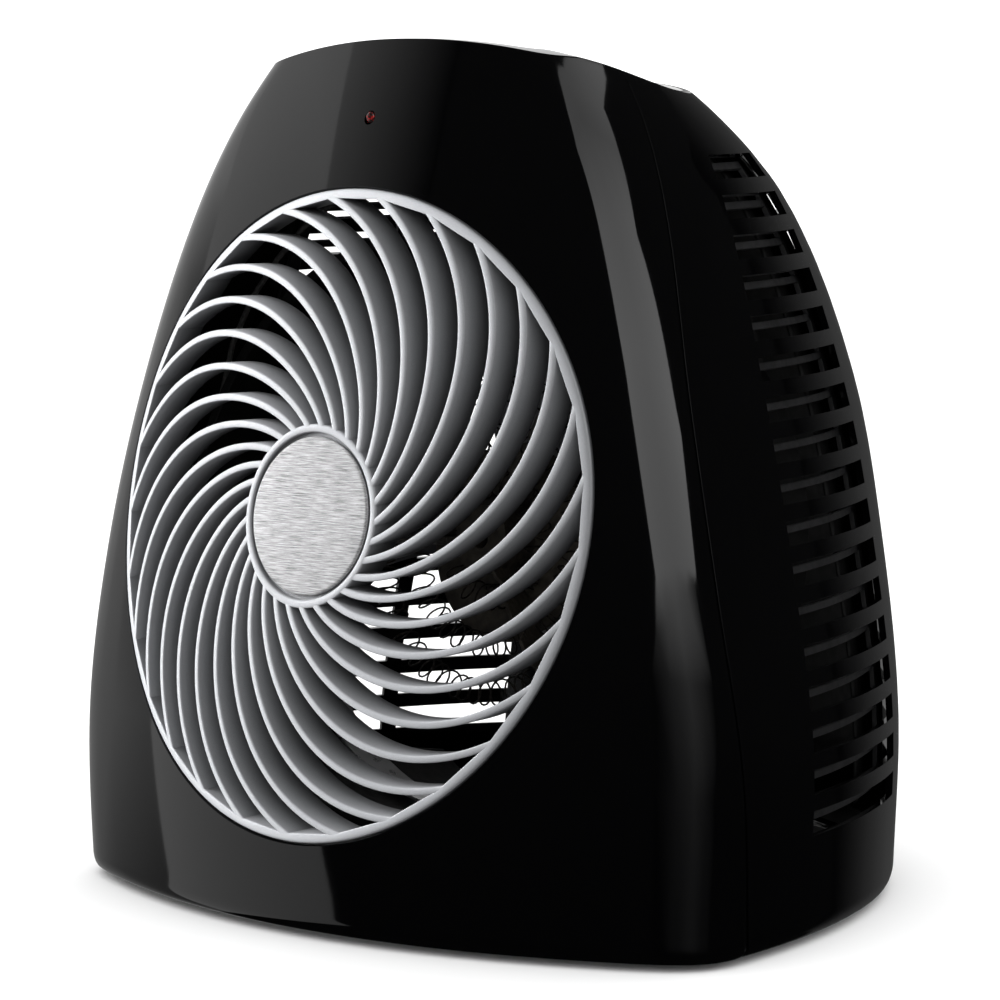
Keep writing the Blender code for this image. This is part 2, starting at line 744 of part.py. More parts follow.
def ring_solid(name, radius, thick, finish, air):
    """A round ring about the air axis at the element's depth."""
    count = 6
    profile = [(radius + thick * math.sin(math.tau * k / count),
                thick * math.cos(math.tau * k / count)) for k in range(count)]
    return turned(name, profile, finish, air, (0, 0, ELEMENT_Z), steps=30, ring=True)


def make_safety(air):
    top = math.radians(95)
    spot = (0.084 * math.cos(top), 0.084 * math.sin(top), ELEMENT_Z + 0.022)
    turned("thermal_cutout", [(0, 0.003), (0.0075, 0.003), (0.0075, -0.004), (0.0055, -0.006),
                              (0, -0.006)], MATT_BLACK, air, spot, steps=20)
    fuse = turned("thermal_fuse", disc_profile(0.002, -0.006, 0.006, 0.0006), STEEL, air,
                  (-0.040, 0.075, ELEMENT_Z + 0.020), steps=12)
    fuse.rotation_euler[1] = math.pi / 2


def make_motor(air):
    wall = 0.002
    eye = 0.0075                # the bearings' seats in the can's ends
    front = MOTOR_FRONT - 0.006
    back = MOTOR_BACK + 0.006
    turned("motor_can", [
        (eye, front), (MOTOR_R, front), (MOTOR_R, back), (eye, back), (eye, back + wall),
        (MOTOR_R - wall, back + wall), (MOTOR_R - wall, front - wall), (eye, front - wall)],
        STEEL, air, steps=24, ring=True)
    turned("motor_windings", tube_profile(0.015, MOTOR_R - 0.0025, back + 0.003, front - 0.003),
           BRASS, air, steps=24, ring=True)
    turned("motor_rotor", tube_profile(SHAFT_BORE, 0.0142, back + 0.004, front - 0.004),
           STEEL, air, steps=24, ring=True)
    for name, z in (("front", front - 0.0006), ("rear", back + 0.0014)):
        turned(f"bearing_{name}", tube_profile(SHAFT_BORE, eye - GAP, z - 0.002, z + 0.002),
               BRASS, air, steps=20, ring=True)
    bracket = turned("motor_bracket", tube_profile(0.0085, MOTOR_R + 0.004, MOTOR_FRONT - 0.0055,
                                                   MOTOR_FRONT - 0.0025), STEEL, air,
                     steps=32, ring=True)
    for name, degrees, width in BRACKET_ARMS:
        turn = math.radians(degrees)
        length = BRACKET_R - MOTOR_R
        middle = MOTOR_R + length / 2
        depth = MOTOR_FRONT - 0.004
        arm = box(f"bracket_arm_{name}", (length, width, 0.0024), None, air,
                  (middle * math.cos(turn), middle * math.sin(turn), depth), turn_z=turn)
        boolean(bracket, as_cutter(arm), 'UNION')
        rise = BRACKET_TAB - depth
        leg_r = BRACKET_R - 0.0011
        leg = box(f"bracket_leg_{name}", (0.0022, width - 0.0006, rise + 0.0010), None, air,
                  (leg_r * math.cos(turn), leg_r * math.sin(turn), depth + rise / 2 - 0.0005),
                  turn_z=turn)
        boolean(bracket, as_cutter(leg), 'UNION')


def blade_rows():
    """Rows of points over one fan blade, from inside the hub to the tip."""
    rows = []
    for i in range(5):
        share = i / 4
        radius = FAN_HUB_R - 0.004 + (FAN_R - FAN_HUB_R + 0.004) * share
        chord = 0.026 + 0.030 * share
        pitch = math.radians(38 - 16 * share)
        row = []
        for j in range(5):
            along = (j / 4 - 0.5) * chord
            camber = 0.10 * chord * (1 - (2 * j / 4 - 1) ** 2)
            across = along * math.cos(pitch)
            height = along * math.sin(pitch) + camber
            turn = across / radius + 0.25 * share
            row.append((radius * math.cos(turn), radius * math.sin(turn), height))
        rows.append(row)
    return rows


def make_fan(air):
    spin = (0, 0, FAN_Z)
    fan = turned("fan", [
        (SHAFT_BORE, 0.010), (0.012, 0.010), (FAN_HUB_R - 0.002, 0.007), (FAN_HUB_R, 0.003),
        (FAN_HUB_R, -0.014), (SHAFT_BORE, -0.014)], FAN_PLASTIC, air, spin,
        steps=30, ring=True)
    mesh = grid_mesh("fan_blade", blade_rows())
    for k in range(BLADES):
        blade = link(f"fan_blade_{k + 1}", mesh, None, air, spin)
        blade.rotation_euler[2] = BLADE_TURN + math.tau * k / BLADES
        thicken(blade, BLADE_T)
        boolean(fan, as_cutter(blade), 'UNION')
    turned("motor_shaft", disc_profile(SHAFT_R, MOTOR_BACK - 0.004 - FAN_Z, 0.0145), STEEL,
           air, spin, steps=20)
    turned("fan_clip", tube_profile(SHAFT_BORE, 0.0085, 0.0104, 0.0130), STEEL, air, spin,
           steps=20, ring=True)


# ---------------------------------------------------------------- controls
def make_control(name, side, body_size):
    """A knob on its shaft, turning about an upright axis, over its switch body."""
    pivot = bpy.data.objects.new(f"{name}_axis", None)
    HEATER.objects.link(pivot)
    pivot.location = (side * KNOB_X, KNOB_Y - MID_Y, TRAY_Z)
    under = 0.0006
    top = under + KNOB_H
    knob = turned(f"{name}_knob", [
        (0, top - 0.0012), (KNOB_R - 0.004, top - 0.0006), (KNOB_R - 0.0022, top),
        (KNOB_R - 0.0006, top - 0.0006), (KNOB_R, top - 0.0025), (KNOB_R + 0.0006, under),
        (0.0033, under), (0.0033, top - 0.003), (0, top - 0.003)], MATT_BLACK, pivot, steps=24)
    pointer = box(f"{name}_pointer", (0.0022, KNOB_R * 0.8, 0.0030), None, pivot,
                  (0, KNOB_R * 0.52, top - 0.0008))
    boolean(knob, as_cutter(pointer), 'UNION')
    turned(f"{name}_shaft", disc_profile(0.003, -0.0155, under + KNOB_H - 0.0034), STEEL, pivot,
           steps=20)
    width, length, height = body_size
    low = -TRAY_T - 0.0006
    casing = box(f"{name}_body", body_size, CERAMIC, None,
                 (pivot.location.x, pivot.location.y, TRAY_Z + low - height / 2), bevel=0.0008)
    bore = turned(f"{name}_body_bore", disc_profile(0.0034, low - 0.0136, 0.01), None,
                  at=tuple(pivot.location), steps=20)
    boolean(casing, as_cutter(bore))


# ---------------------------------------------------------------- electrical pieces
def make_tip_switch():
    casing = box("tip_switch_body", (0.020, 0.012, 0.018), MATT_BLACK, None,
                 (0, SWITCH_Y, PLATE_TOP + GAP + 0.009), bevel=0.0006)
    bore = turned("tip_switch_bore", disc_profile(0.0034, -0.01, 0.0135), None,
                  at=(0, SWITCH_Y, PLATE_TOP), steps=20)
    boolean(casing, as_cutter(bore))
    turned("tip_switch_plunger",
           [(0, 0.0185), (0.0018, 0.0185), (0.0018, 0.0125), (0.0029, 0.0125), (0.0029, 0.0012),
            (0.0020, PLUNGER_TIP), (0, PLUNGER_TIP)], FAN_PLASTIC, at=(0, SWITCH_Y, 0), steps=20)


def make_terminals():
    box("terminal_block", (0.036, 0.016, 0.012), CERAMIC, None,
        (-0.045, 0.066, PLATE_TOP + GAP + 0.006), bevel=0.0008)
    gland = turned("cord_gland", [
        (0.0036, -0.0002), (0.0050, -0.0002), (GLAND_R, -0.0008), (GLAND_R, -0.005),
        (0.0080, -0.005), (0.0080, -0.008), (0.0036, -0.008)], RUBBER, at=gland_spot(),
        steps=16, ring=True)
    gland.rotation_euler = gland_turn()


def make_wires():
    lead = 0.0011
    for name, side in (("selector", -1), ("thermostat", 1)):
        start = -0.055 if side < 0 else -0.024
        route = ((start, 0.052, 0.0180), (side * 0.085, 0.010, 0.0165),
                 (side * 0.112, -0.038, 0.026), (side * 0.119, -0.046, 0.065),
                 (side * 0.120, -0.048, 0.130), (side * 0.107, -0.048, 0.195),
                 (side * 0.074, -0.042, 0.238), (side * 0.0395, -0.034, 0.2560))
        wire(f"lead_{name}", smooth_route(route), lead, WIRE_SLEEVE)
    route = ((-0.045, 0.0560, 0.0180), (-0.034, 0.0500, 0.030), (-0.014, 0.0430, 0.060),
             (-0.006, 0.0410, 0.0795))
    wire("lead_motor", smooth_route(route), lead, WIRE_SLEEVE)


# ---------------------------------------------------------------- build
def build():
    air = bpy.data.objects.new("air_axis", None)
    HEATER.objects.link(air)
    air.location = (0, -MID_Y, GRILLE_Z)
    air.rotation_euler[0] = AXIS_TILT
    make_front_shell()
    make_rear_shell()
    make_intake_guard("intake_guard_right", GUARD_END_RIGHT, False)
    make_intake_guard("intake_guard_left", GUARD_END_LEFT, True)
    make_lead_shield()
    make_control_panel()
    make_base()
    make_grille()
    make_badge(air)
    make_lamp()
    make_duct(air)
    make_element(air)
    make_safety(air)
    make_motor(air)
    make_fan(air)
    make_control("selector", -1, (0.030, 0.030, 0.020))
    make_control("thermostat", 1, (0.030, 0.030, 0.020))
    make_tip_switch()
    make_terminals()
    make_wires()


build()
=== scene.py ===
"""Looks of the whole-room fan heater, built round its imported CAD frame.

The housing, grille, controls and air path repeat the frame's own surfaces with finer
meshes; every piece rides on its frame body. Metres, +Z up, the front looks along -Y.
"""
import json
import math
import random

import bmesh
import bpy
from mathutils import Matrix, Vector

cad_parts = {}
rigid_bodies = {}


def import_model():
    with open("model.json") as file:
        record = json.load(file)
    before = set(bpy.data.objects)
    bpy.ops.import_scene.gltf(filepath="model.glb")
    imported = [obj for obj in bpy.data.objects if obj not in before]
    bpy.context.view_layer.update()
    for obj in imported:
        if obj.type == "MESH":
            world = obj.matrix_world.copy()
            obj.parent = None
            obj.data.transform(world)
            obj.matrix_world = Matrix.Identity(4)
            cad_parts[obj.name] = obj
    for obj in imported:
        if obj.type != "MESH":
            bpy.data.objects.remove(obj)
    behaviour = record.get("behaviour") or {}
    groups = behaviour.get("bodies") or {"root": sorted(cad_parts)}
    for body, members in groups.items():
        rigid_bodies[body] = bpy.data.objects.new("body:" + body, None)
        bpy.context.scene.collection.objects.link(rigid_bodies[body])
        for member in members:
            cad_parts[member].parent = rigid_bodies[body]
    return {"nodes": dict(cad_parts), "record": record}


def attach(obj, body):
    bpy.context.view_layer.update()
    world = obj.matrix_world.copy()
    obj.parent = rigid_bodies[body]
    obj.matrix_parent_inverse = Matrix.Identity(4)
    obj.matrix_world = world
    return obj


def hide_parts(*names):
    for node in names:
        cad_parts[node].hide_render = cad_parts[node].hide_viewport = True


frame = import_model()
bpy.context.view_layer.update()

# ---------------------------------------------------------------- shape of the housing
R = 0.110
FOOT = 0.0025
GRILLE_Z = 0.1432
MID_Y = 0.1210
GAP = 0.0004
GRILLE_GAP = 0.0008
WALL = 0.0026
LEAN = 0.179
BOW_UP = 0.088
BOW_SIDE = 0.202
BOW_TAPER = 0.011
CORNER_POWER = 23
REAR_POWER = 2.06
STATIONS = (
    (0.000, 0.1510, 0.0490, 0.2425),
    (0.060, 0.1517, 0.0470, 0.2490),
    (0.120, 0.1400, 0.0490, 0.2520),
    (0.180, 0.1240, 0.0565, 0.2465),
    (0.240, 0.1045, 0.0700, 0.2170),
    (0.275, 0.0860, 0.0795, 0.1750),
    (0.310, 0.0560, 0.0900, 0.1060),
)
EDGE = 0.003
ROOF_Z = 0.3040
ROOF_ARCH = 0.19
ROOF_DROP = 0.016
ROOF_FALL_Y = 0.068
ROOF_FALL_SPAN = 0.045
SLOTS = 17
SLOT_TOP = 0.2621
SLOT_PITCH = 0.01356
SLOT_HEIGHT = 0.0082
SLOT_FRONT_LOW = 0.086
SLOT_FRONT_HIGH = 0.108
REAR_STEPS = (0, 0.155, 0.31, 0.334, 0.43, 0.52, 0.61, 0.76, 0.91, 1)
RIB_STEPS = (2, 5, 8)
BAND_STEPS = (2, 3, 4, 5, 8)
SEAM_ANGLE = 0.0045
SLAT_INSET = 0.0066
SLAT_HEIGHT = 0.0025
SLAT_T = 0.0018
GUARD_END_RIGHT = math.radians(38)
GUARD_END_LEFT = math.radians(29)
SHIELD_FAR = 0.0125
SHIELD_NEAR = 0.0056
SHIELD_BEND = (math.radians(42), math.radians(46))
SHIELD_T = 0.001
SHIELD_START = math.radians(34)
SHIELD_END = math.radians(86)
SHIELD_LOW = 0.034
SHIELD_HIGH = 0.268

# grille
FINS = 29
FIN_LAND = 0.0024
FIN_BEVEL = 0.00035
FIN_DEPTH = 0.0125
FIN_START = math.radians(-24.3)
RIM_WIDTH = 0.0028
HUB_R = 0.0309
HUB_BORE = 0.0282
HUB_DEPTH = 0.0024
BADGE_DEPTH = 0.0040
BADGE_T = 0.0012
HUB_FLOOR = 0.0025

# air path
DUCT_R = 0.100
DUCT_WALL = 0.0018
DUCT_FRONT = -0.046
DUCT_BACK = -0.150
NOTCH = (-150.5, 0.0765, -0.112)
COIL_RADII = (0.0205, 0.0375, 0.0545)
COIL_R = 0.0050
ELEMENT_Z = -0.099
BOARDS = 3
BOARD_TURN = math.radians(-56)
BOARD_T = 0.0014
BOARD_H = 0.016
BOARD_R = 0.0925
RING_R = 0.0965
RING_H = 0.016
SCREEN_R = 0.036
SCREEN_T = 0.0012
FAN_Z = -0.123
FAN_R = 0.088
FAN_HUB_R = 0.021
BLADES = 3
BLADE_TURN = math.radians(-77)
BLADE_T = 0.0018
SHAFT_R = 0.003
SHAFT_BORE = SHAFT_R + 0.0003
MOTOR_R = 0.031
MOTOR_FRONT = -0.144
MOTOR_BACK = -0.186
BRACKET_TAB = -0.1085
BRACKET_R = 0.0945
BRACKET_ARMS = ((112, 0.060), (-68, 0.024))

# controls and base
TRAY_Z = 0.2865
TRAY_T = 0.0022
KNOB_Y = 0.087
KNOB_X = 0.023
KNOB_R = 0.0165
KNOB_H = 0.0105
LED_Z = 1.218 * R + GRILLE_Z
LED_R = 0.0020
FOOT_SPOTS = (("front_left", -0.105, -0.088), ("front_right", 0.105, -0.088),
              ("rear_left", -0.088, 0.052), ("rear_right", 0.088, 0.052))
SCREW_SPOTS = (("left", -0.075, -0.080), ("right", 0.075, -0.080), ("rear", 0.0, 0.098))
PLATE_LOW = FOOT + 0.0008
GLAND_X = -0.060
GLAND_Z = 0.028
GLAND_ANGLE = 115
GLAND_R = 0.0057

TILT = math.atan(LEAN)
AIR = (Matrix.Translation((0, -MID_Y, GRILLE_Z))
       @ Matrix.Rotation(math.pi / 2 - TILT, 4, 'X'))


def station(height):
    """Half width, seam depth and back depth at a height, on a smooth curve."""
    last = len(STATIONS) - 2
    i = max(k for k in range(last + 1) if k == 0 or STATIONS[k][0] <= height)
    low, high = STATIONS[i], STATIONS[i + 1]
    before, after = STATIONS[max(i - 1, 0)], STATIONS[min(i + 2, last + 1)]
    span = high[0] - low[0]
    t = (height - low[0]) / span
    values = []
    for k in (1, 2, 3):
        slope_low = (high[k] - before[k]) / (high[0] - before[0]) * span
        slope_high = (after[k] - low[k]) / (after[0] - low[0]) * span
        values.append((2 * t ** 3 - 3 * t ** 2 + 1) * low[k] + (t ** 3 - 2 * t ** 2 + t) * slope_low
                      + (3 * t ** 2 - 2 * t ** 3) * high[k] + (t ** 3 - t ** 2) * slope_high)
    return values


def edge_inset(z):
    rise = min(max((z - FOOT) / (2 * EDGE), 0.0), 1.0)
    return EDGE * (1 - math.sqrt(1 - (1 - rise) ** 2))


def front_depth(x, z):
    u = x / R
    v = (z - GRILLE_Z) / R
    return R * (LEAN * v + BOW_UP * v * v + (BOW_SIDE + BOW_TAPER * v) * u * u)


def front_point(s, z):
    half, seam, _ = station(z - FOOT)
    inset = edge_inset(z)
    across = math.sin(s * math.pi / 2)
    x = half * across
    turn = 1 - math.sqrt(max(1 - abs(across) ** CORNER_POWER, 0))
    depth = front_depth(x, z) + (seam - front_depth(half, z)) * turn
    return x - inset * across * turn, depth + inset * (1 - turn) - MID_Y, z


def rear_point(angle, z):
    half, seam, back = station(z - FOOT)
    inset = edge_inset(z)
    side = abs(math.cos(angle)) ** (2 / REAR_POWER)
    behind = abs(math.sin(angle)) ** (2 / REAR_POWER)
    x = math.copysign((half - inset) * side, math.cos(angle))
    return x, seam + (back - inset - seam) * behind - MID_Y, z


def roof_z(x, y):
    behind = max(y + MID_Y - ROOF_FALL_Y, 0) / ROOF_FALL_SPAN
    return ROOF_Z - ROOF_ARCH * x * x / R - ROOF_DROP * (1 - math.exp(-behind ** 1.5))


def roof_height(point_at):
    low, high = 0.25, 0.312
    for _ in range(30):
        z = (low + high) / 2
        x, y, _ = point_at(z)
        if roof_z(x, y) > z:
            low = z
        else:
            high = z
    return low


ROOF_STEPS = 400
ROOF_TABLE = [roof_height(lambda z, s=2 * k / ROOF_STEPS - 1: front_point(s, z))
              for k in range(ROOF_STEPS + 1)]


def roof_top(s):
    """Height of the front shell's upper edge at s."""
    spot = min(max((s + 1) / 2 * ROOF_STEPS, 0), ROOF_STEPS - 1e-6)
    k = int(spot)
    return ROOF_TABLE[k] + (ROOF_TABLE[k + 1] - ROOF_TABLE[k]) * (spot - k)


def slot_angle(z):
    share = (SLOT_TOP - z) / (SLOTS * SLOT_PITCH)
    depth = SLOT_FRONT_HIGH + (SLOT_FRONT_LOW - SLOT_FRONT_HIGH) * min(max(share, 0), 1)
    _, seam, back = station(z - FOOT)
    behind = min((depth - seam) / (back - seam), 0.999)
    return math.asin(behind ** (REAR_POWER / 2))


def gland_spot():
    return Vector((GLAND_X, rear_point(math.radians(GLAND_ANGLE), GLAND_Z)[1], GLAND_Z))


# ---------------------------------------------------------------- procedural finishes
class Finish:
    """A Principled material with small helpers to wire textures to it."""

    def __init__(self, name, colour, roughness, metallic=0.0, **sockets):
        self.material = bpy.data.materials.new(name)
        self.material.use_nodes = True
        self.tree = self.material.node_tree
        self.shader = self.tree.nodes["Principled BSDF"]
        self.set("Base Color", (*colour, 1.0))
        self.set("Roughness", roughness)
        self.set("Metallic", metallic)
        for key, value in sockets.items():
            self.set(key.replace("_", " "), value)
        self.place = self.tree.nodes.new("ShaderNodeTexCoord").outputs["Object"]

    def set(self, socket, value):
        self.shader.inputs[socket].default_value = value

    def join(self, source, target):
        self.tree.links.new(source, target)

    def node(self, kind, **values):
        made = self.tree.nodes.new(f"ShaderNode{kind}")
        for key, value in values.items():
            made.inputs[key.replace("_", " ")].default_value = value
        return made

    def noise(self, scale, detail=4.0, stretch=(1, 1, 1), rough=0.5):
        spread = self.node("Mapping", Scale=stretch)
        self.join(self.place, spread.inputs["Vector"])
        made = self.node("TexNoise", Scale=scale, Detail=detail, Roughness=rough)
        self.join(spread.outputs["Vector"], made.inputs["Vector"])
        return made.outputs["Fac"]

    def ranged(self, source, low, high, start=0.3, end=0.7):
        made = self.node("MapRange", From_Min=start, From_Max=end, To_Min=low, To_Max=high)
        self.join(source, made.inputs["Value"])
        return made.outputs["Result"]

    def vary_roughness(self, source, low, high):
        self.join(self.ranged(source, low, high), self.shader.inputs["Roughness"])
        return self

    def vary_colour(self, source, first, second, start=0.35, end=0.65):
        made = self.node("ValToRGB")
        for stop, place, colour in zip(made.color_ramp.elements, (start, end), (first, second)):
            stop.position = place
            stop.color = (*colour, 1)
        self.join(source, made.inputs["Fac"])
        self.join(made.outputs["Color"], self.shader.inputs["Base Color"])
        return self

    def painted_shade_by(self, stored_name, stops):
        """Darken the colour along a value that is stored on the mesh: painted shade."""
        stored = self.node("Attribute")
        stored.attribute_name = stored_name
        shade = self.node("ValToRGB")
        spots = shade.color_ramp.elements
        spots[0].position = stops[0][0]
        spots[1].position = stops[-1][0]
        for place, _ in stops[1:-1]:
            spots.new(place)
        for spot, (_, level) in zip(spots, stops):
            spot.color = (level, level, level, 1)
        product = self.node("VectorMath")
        product.operation = 'MULTIPLY'
        socket = self.shader.inputs["Base Color"]
        self.join(stored.outputs["Fac"], shade.inputs["Fac"])
        self.join(socket.links[0].from_socket, product.inputs[0])
        self.join(shade.outputs["Color"], product.inputs[1])
        self.join(product.outputs["Vector"], socket)
        return self

    def bump(self, source, distance, strength=1.0):
        made = self.node("Bump", Distance=distance, Strength=strength)
        self.join(source, made.inputs["Height"])
        self.join(made.outputs["Normal"], self.shader.inputs["Normal"])
        return self


def make_finishes():
    """One procedural finish for each material slot, and a blacker one for walls inside the housing, whose
    darkness is painted shade.
    """
    gloss = Finish("gloss_black_moulding", (0.0005, 0.0005, 0.0006), 0.05)
    gloss.vary_roughness(gloss.noise(60, 3), 0.040, 0.062)
    gloss.bump(gloss.noise(420, 2), 0.000002)
    matt = Finish("matt_black_moulding", (0.012, 0.012, 0.013), 0.5)
    matt.vary_colour(matt.noise(90), (0.009, 0.009, 0.010), (0.016, 0.016, 0.017))
    matt.vary_roughness(matt.noise(240), 0.42, 0.58)
    matt.bump(matt.noise(2600, 2), 0.00002, 0.5)
    # painted shade: near-black, darker than the matt moulding, for the duct and the lead shield inside the
    # housing
    inner = Finish("inner_moulding_painted_shade", (0.003, 0.003, 0.003), 0.65, Specular_IOR_Level=0.2)
    inner.vary_colour(inner.noise(90), (0.002, 0.002, 0.002), (0.004, 0.004, 0.004))
    inner.vary_roughness(inner.noise(240), 0.58, 0.72)
    inner.bump(inner.noise(2600, 2), 0.00002, 0.5)
    silver = Finish("satin_silver_paint", (0.16, 0.163, 0.17), 0.36, 0.2)
    silver.vary_colour(silver.noise(5000, 2), (0.142, 0.145, 0.151), (0.178, 0.182, 0.190))
    # painted shade: the silver darkens deeper into the grille, so the fins' walls go dark between the
    # lands
    silver.painted_shade_by("depth", ((0.0, 0.90), (0.03, 0.88), (0.06, 0.66), (0.5, 0.56), (1.0, 0.26)))
    silver.vary_roughness(silver.noise(180, 3), 0.32, 0.40)
    silver.bump(silver.noise(3800, 2), 0.000006, 0.6)
    brushed = Finish("brushed_disc", (0.3, 0.3, 0.305), 0.4, 0.62, Anisotropic=0.5)
    streak = brushed.noise(110, 6, (1.0, 24, 24), 0.7)
    brushed.vary_colour(streak, (0.09, 0.09, 0.093), (0.36, 0.36, 0.364), 0.36, 0.64)
    brushed.vary_roughness(streak, 0.30, 0.50)
    brushed.bump(streak, 0.00002, 0.6)
    red = Finish("red_lamp_lens", (0.10, 0.003, 0.003), 0.10)
    red.vary_colour(red.noise(1100, 2), (0.010, 0.006, 0.006), (0.20, 0.006, 0.006), 0.46, 0.62)
    red.bump(red.noise(700, 2), 0.00002)
    rubber = Finish("black_rubber", (0.02, 0.02, 0.02), 0.8)
    rubber.vary_colour(rubber.noise(300), (0.014, 0.014, 0.014), (0.028, 0.028, 0.027))
    rubber.vary_roughness(rubber.noise(600), 0.7, 0.88)
    rubber.bump(rubber.noise(2400, 3), 0.00003, 0.6)
    steel = Finish("plated_steel", (0.55, 0.55, 0.56), 0.32, 1.0)
    steel.vary_roughness(steel.noise(160, 4), 0.24, 0.42)
    steel.bump(steel.noise(900, 3), 0.000008)
    mica = Finish("mica_board", (0.42, 0.33, 0.20), 0.55)
    # the ramp replaces the mica's own light brown with near-black: painted shade inside the air path
    mica.vary_colour(mica.noise(260, 6, (1, 1, 3)), (0.020, 0.017, 0.013), (0.046, 0.039, 0.030))
    mica.vary_roughness(mica.noise(500), 0.35, 0.7)
    mica.bump(mica.noise(900, 4), 0.00004, 0.6)
    wire = Finish("oxidised_heating_wire", (0.05, 0.045, 0.042), 0.5, 0.8)
    wire.vary_colour(wire.noise(700), (0.020, 0.018, 0.018), (0.075, 0.066, 0.058))
    wire.vary_roughness(wire.noise(900), 0.38, 0.62)
    ceramic = Finish("ceramic_body", (0.80, 0.78, 0.72), 0.45)
    ceramic.vary_colour(ceramic.noise(150), (0.74, 0.71, 0.65), (0.84, 0.82, 0.77))
    ceramic.vary_roughness(ceramic.noise(400), 0.36, 0.55)
    ceramic.bump(ceramic.noise(1500, 3), 0.00002, 0.5)
    fan = Finish("fan_moulding", (0.03, 0.03, 0.033), 0.4)
    fan.vary_colour(fan.noise(80), (0.022, 0.022, 0.025), (0.040, 0.040, 0.044))
    fan.vary_roughness(fan.noise(200), 0.32, 0.5)
    fan.bump(fan.noise(1800, 2), 0.00001)
    brass = Finish("copper_and_bronze", (0.62, 0.38, 0.18), 0.34, 1.0)
    brass.vary_colour(brass.noise(240, 5, (1, 1, 6)), (0.44, 0.22, 0.10), (0.74, 0.50, 0.26))
    brass.vary_roughness(brass.noise(400), 0.28, 0.5)
    sleeve = Finish("heat_proof_sleeve", (0.05, 0.048, 0.046), 0.65)
    sleeve.vary_colour(sleeve.noise(900, 3), (0.035, 0.034, 0.032), (0.070, 0.067, 0.064))
    sleeve.bump(sleeve.noise(2600, 2), 0.00003, 0.7)
    return {"gloss_black": gloss, "matt_black": matt, "silver_paint": silver,
            "brushed_aluminium": brushed, "red_lens": red, "rubber": rubber,
            "plated_steel": steel, "mica": mica, "heating_wire": wire, "ceramic": ceramic,
            "fan_plastic": fan, "brass": brass, "wire_sleeve": sleeve,
            "inner_painted_shade": inner}


FINISH = {slot: made.material for slot, made in make_finishes().items()}
SLOT_OF = {part["node"]: part["material_slot"] for part in frame["record"]["subparts"]}
# the air duct and the lead shield take the near-black finish of painted shade, not their own slot's
SHADED_INNER_NODES = ("lead_shield", "air_duct")
BODY_OF = {node: body for body, nodes in frame["record"]["behaviour"]["bodies"].items()
           for node in nodes}


# ---------------------------------------------------------------- mesh helpers
def added(name, data):
    item = bpy.data.objects.new(name, data)
    bpy.context.scene.collection.objects.link(item)
    return item


def piece(node, mesh, place=None, extra=""):
    """Show a finer mesh in place of a frame node, on its body and in its finish."""
    item = added(f"{node}_skin{extra}", mesh)
    # the duct and the lead shield get the near-black finish of painted shade instead of their slot's
    item.data.materials.append(FINISH["inner_painted_shade" if node in SHADED_INNER_NODES else SLOT_OF[node]])
    if place is not None:
        item.matrix_world = place
    if item.type == 'MESH':
        mesh.polygons.foreach_set("use_smooth", [True] * len(mesh.polygons))
    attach(item, BODY_OF[node])
    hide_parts(node)
    return item


def rounded(item, width, segments=2, angle=35):
    """Break an item's sharp edges and keep its wide faces' shading clean."""
    edge = item.modifiers.new("edge", 'BEVEL')
    edge.width = width
    edge.segments = segments
    edge.limit_method = 'ANGLE'
    edge.angle_limit = math.radians(angle)
    edge.harden_normals = True
    edge.use_clamp_overlap = True
    return item


def walled(item, thickness):
    wall = item.modifiers.new("wall", 'SOLIDIFY')
    wall.thickness = thickness
    wall.offset = -1.0
    return item


def grid_mesh(name, rows, kept=None, closed=False):
    """Faces over rows of points; closed joins each row's ends."""
    width = len(rows[0])
    verts = [point for row in rows for point in row]
    faces = []
    for i in range(len(rows) - 1):
        for j in range(width if closed else width - 1):
            k = (j + 1) % width
            if kept is None or kept(i, j):
                faces.append((i * width + j, i * width + k,
                              (i + 1) * width + k, (i + 1) * width + j))
    mesh = bpy.data.meshes.new(name)
    mesh.from_pydata([tuple(v) for v in verts], [], faces)
    return cleaned(mesh)


def cleaned(mesh):
    """Merge doubled points, drop loose ones and turn the faces outwards."""
    shape = bmesh.new()
    shape.from_mesh(mesh)
    bmesh.ops.remove_doubles(shape, verts=shape.verts, dist=0.000002)
    loose = [vert for vert in shape.verts if not vert.link_faces]
    bmesh.ops.delete(shape, geom=loose, context='VERTS')
    if not any(len(edge.link_faces) == 1 for edge in shape.edges):
        bmesh.ops.recalc_face_normals(shape, faces=shape.faces)
    shape.to_mesh(mesh)
    shape.free()
    return mesh


def lathe_mesh(name, profile, steps=96, ring=False, wave=None):
    """Turn (radius, height) points about Z. wave(angle, radius, height) moves the radius."""
    if ring:
        profile = profile + profile[:1]
    rows = []
    for radius, height in profile:
        row = []
        for k in range(steps):
            turn = math.tau * k / steps
            reach = radius if wave is None else wave(turn, radius, height)
            row.append((reach * math.cos(turn), reach * math.sin(turn), height))
        rows.append(row)
    return grid_mesh(name, rows, closed=True)


def turned(node, profile, at=(0, 0, 0), base=None, bevel=0.0003, steps=96, ring=False,
           wave=None, extra=""):
    place = (Matrix.Identity(4) if base is None else base) @ Matrix.Translation(at)
    item = piece(node, lathe_mesh(f"{node}_skin{extra}", profile, steps, ring, wave), place, extra)
    return rounded(item, bevel) if bevel else item


def disc(radius, low, high):
    return [(0, high), (radius, high), (radius, low), (0, low)]


def tube(inner, outer, low, high):
    return [(inner, high), (outer, high), (outer, low), (inner, low)]


def joined(node, meshes, place=None, extra=""):
    """One piece from several closed meshes."""
    shape = bmesh.new()
    for mesh in meshes:
        shape.from_mesh(mesh)
    whole = bpy.data.meshes.new(f"{node}_skin{extra}")
    shape.to_mesh(whole)
    shape.free()
    return piece(node, whole, place, extra)


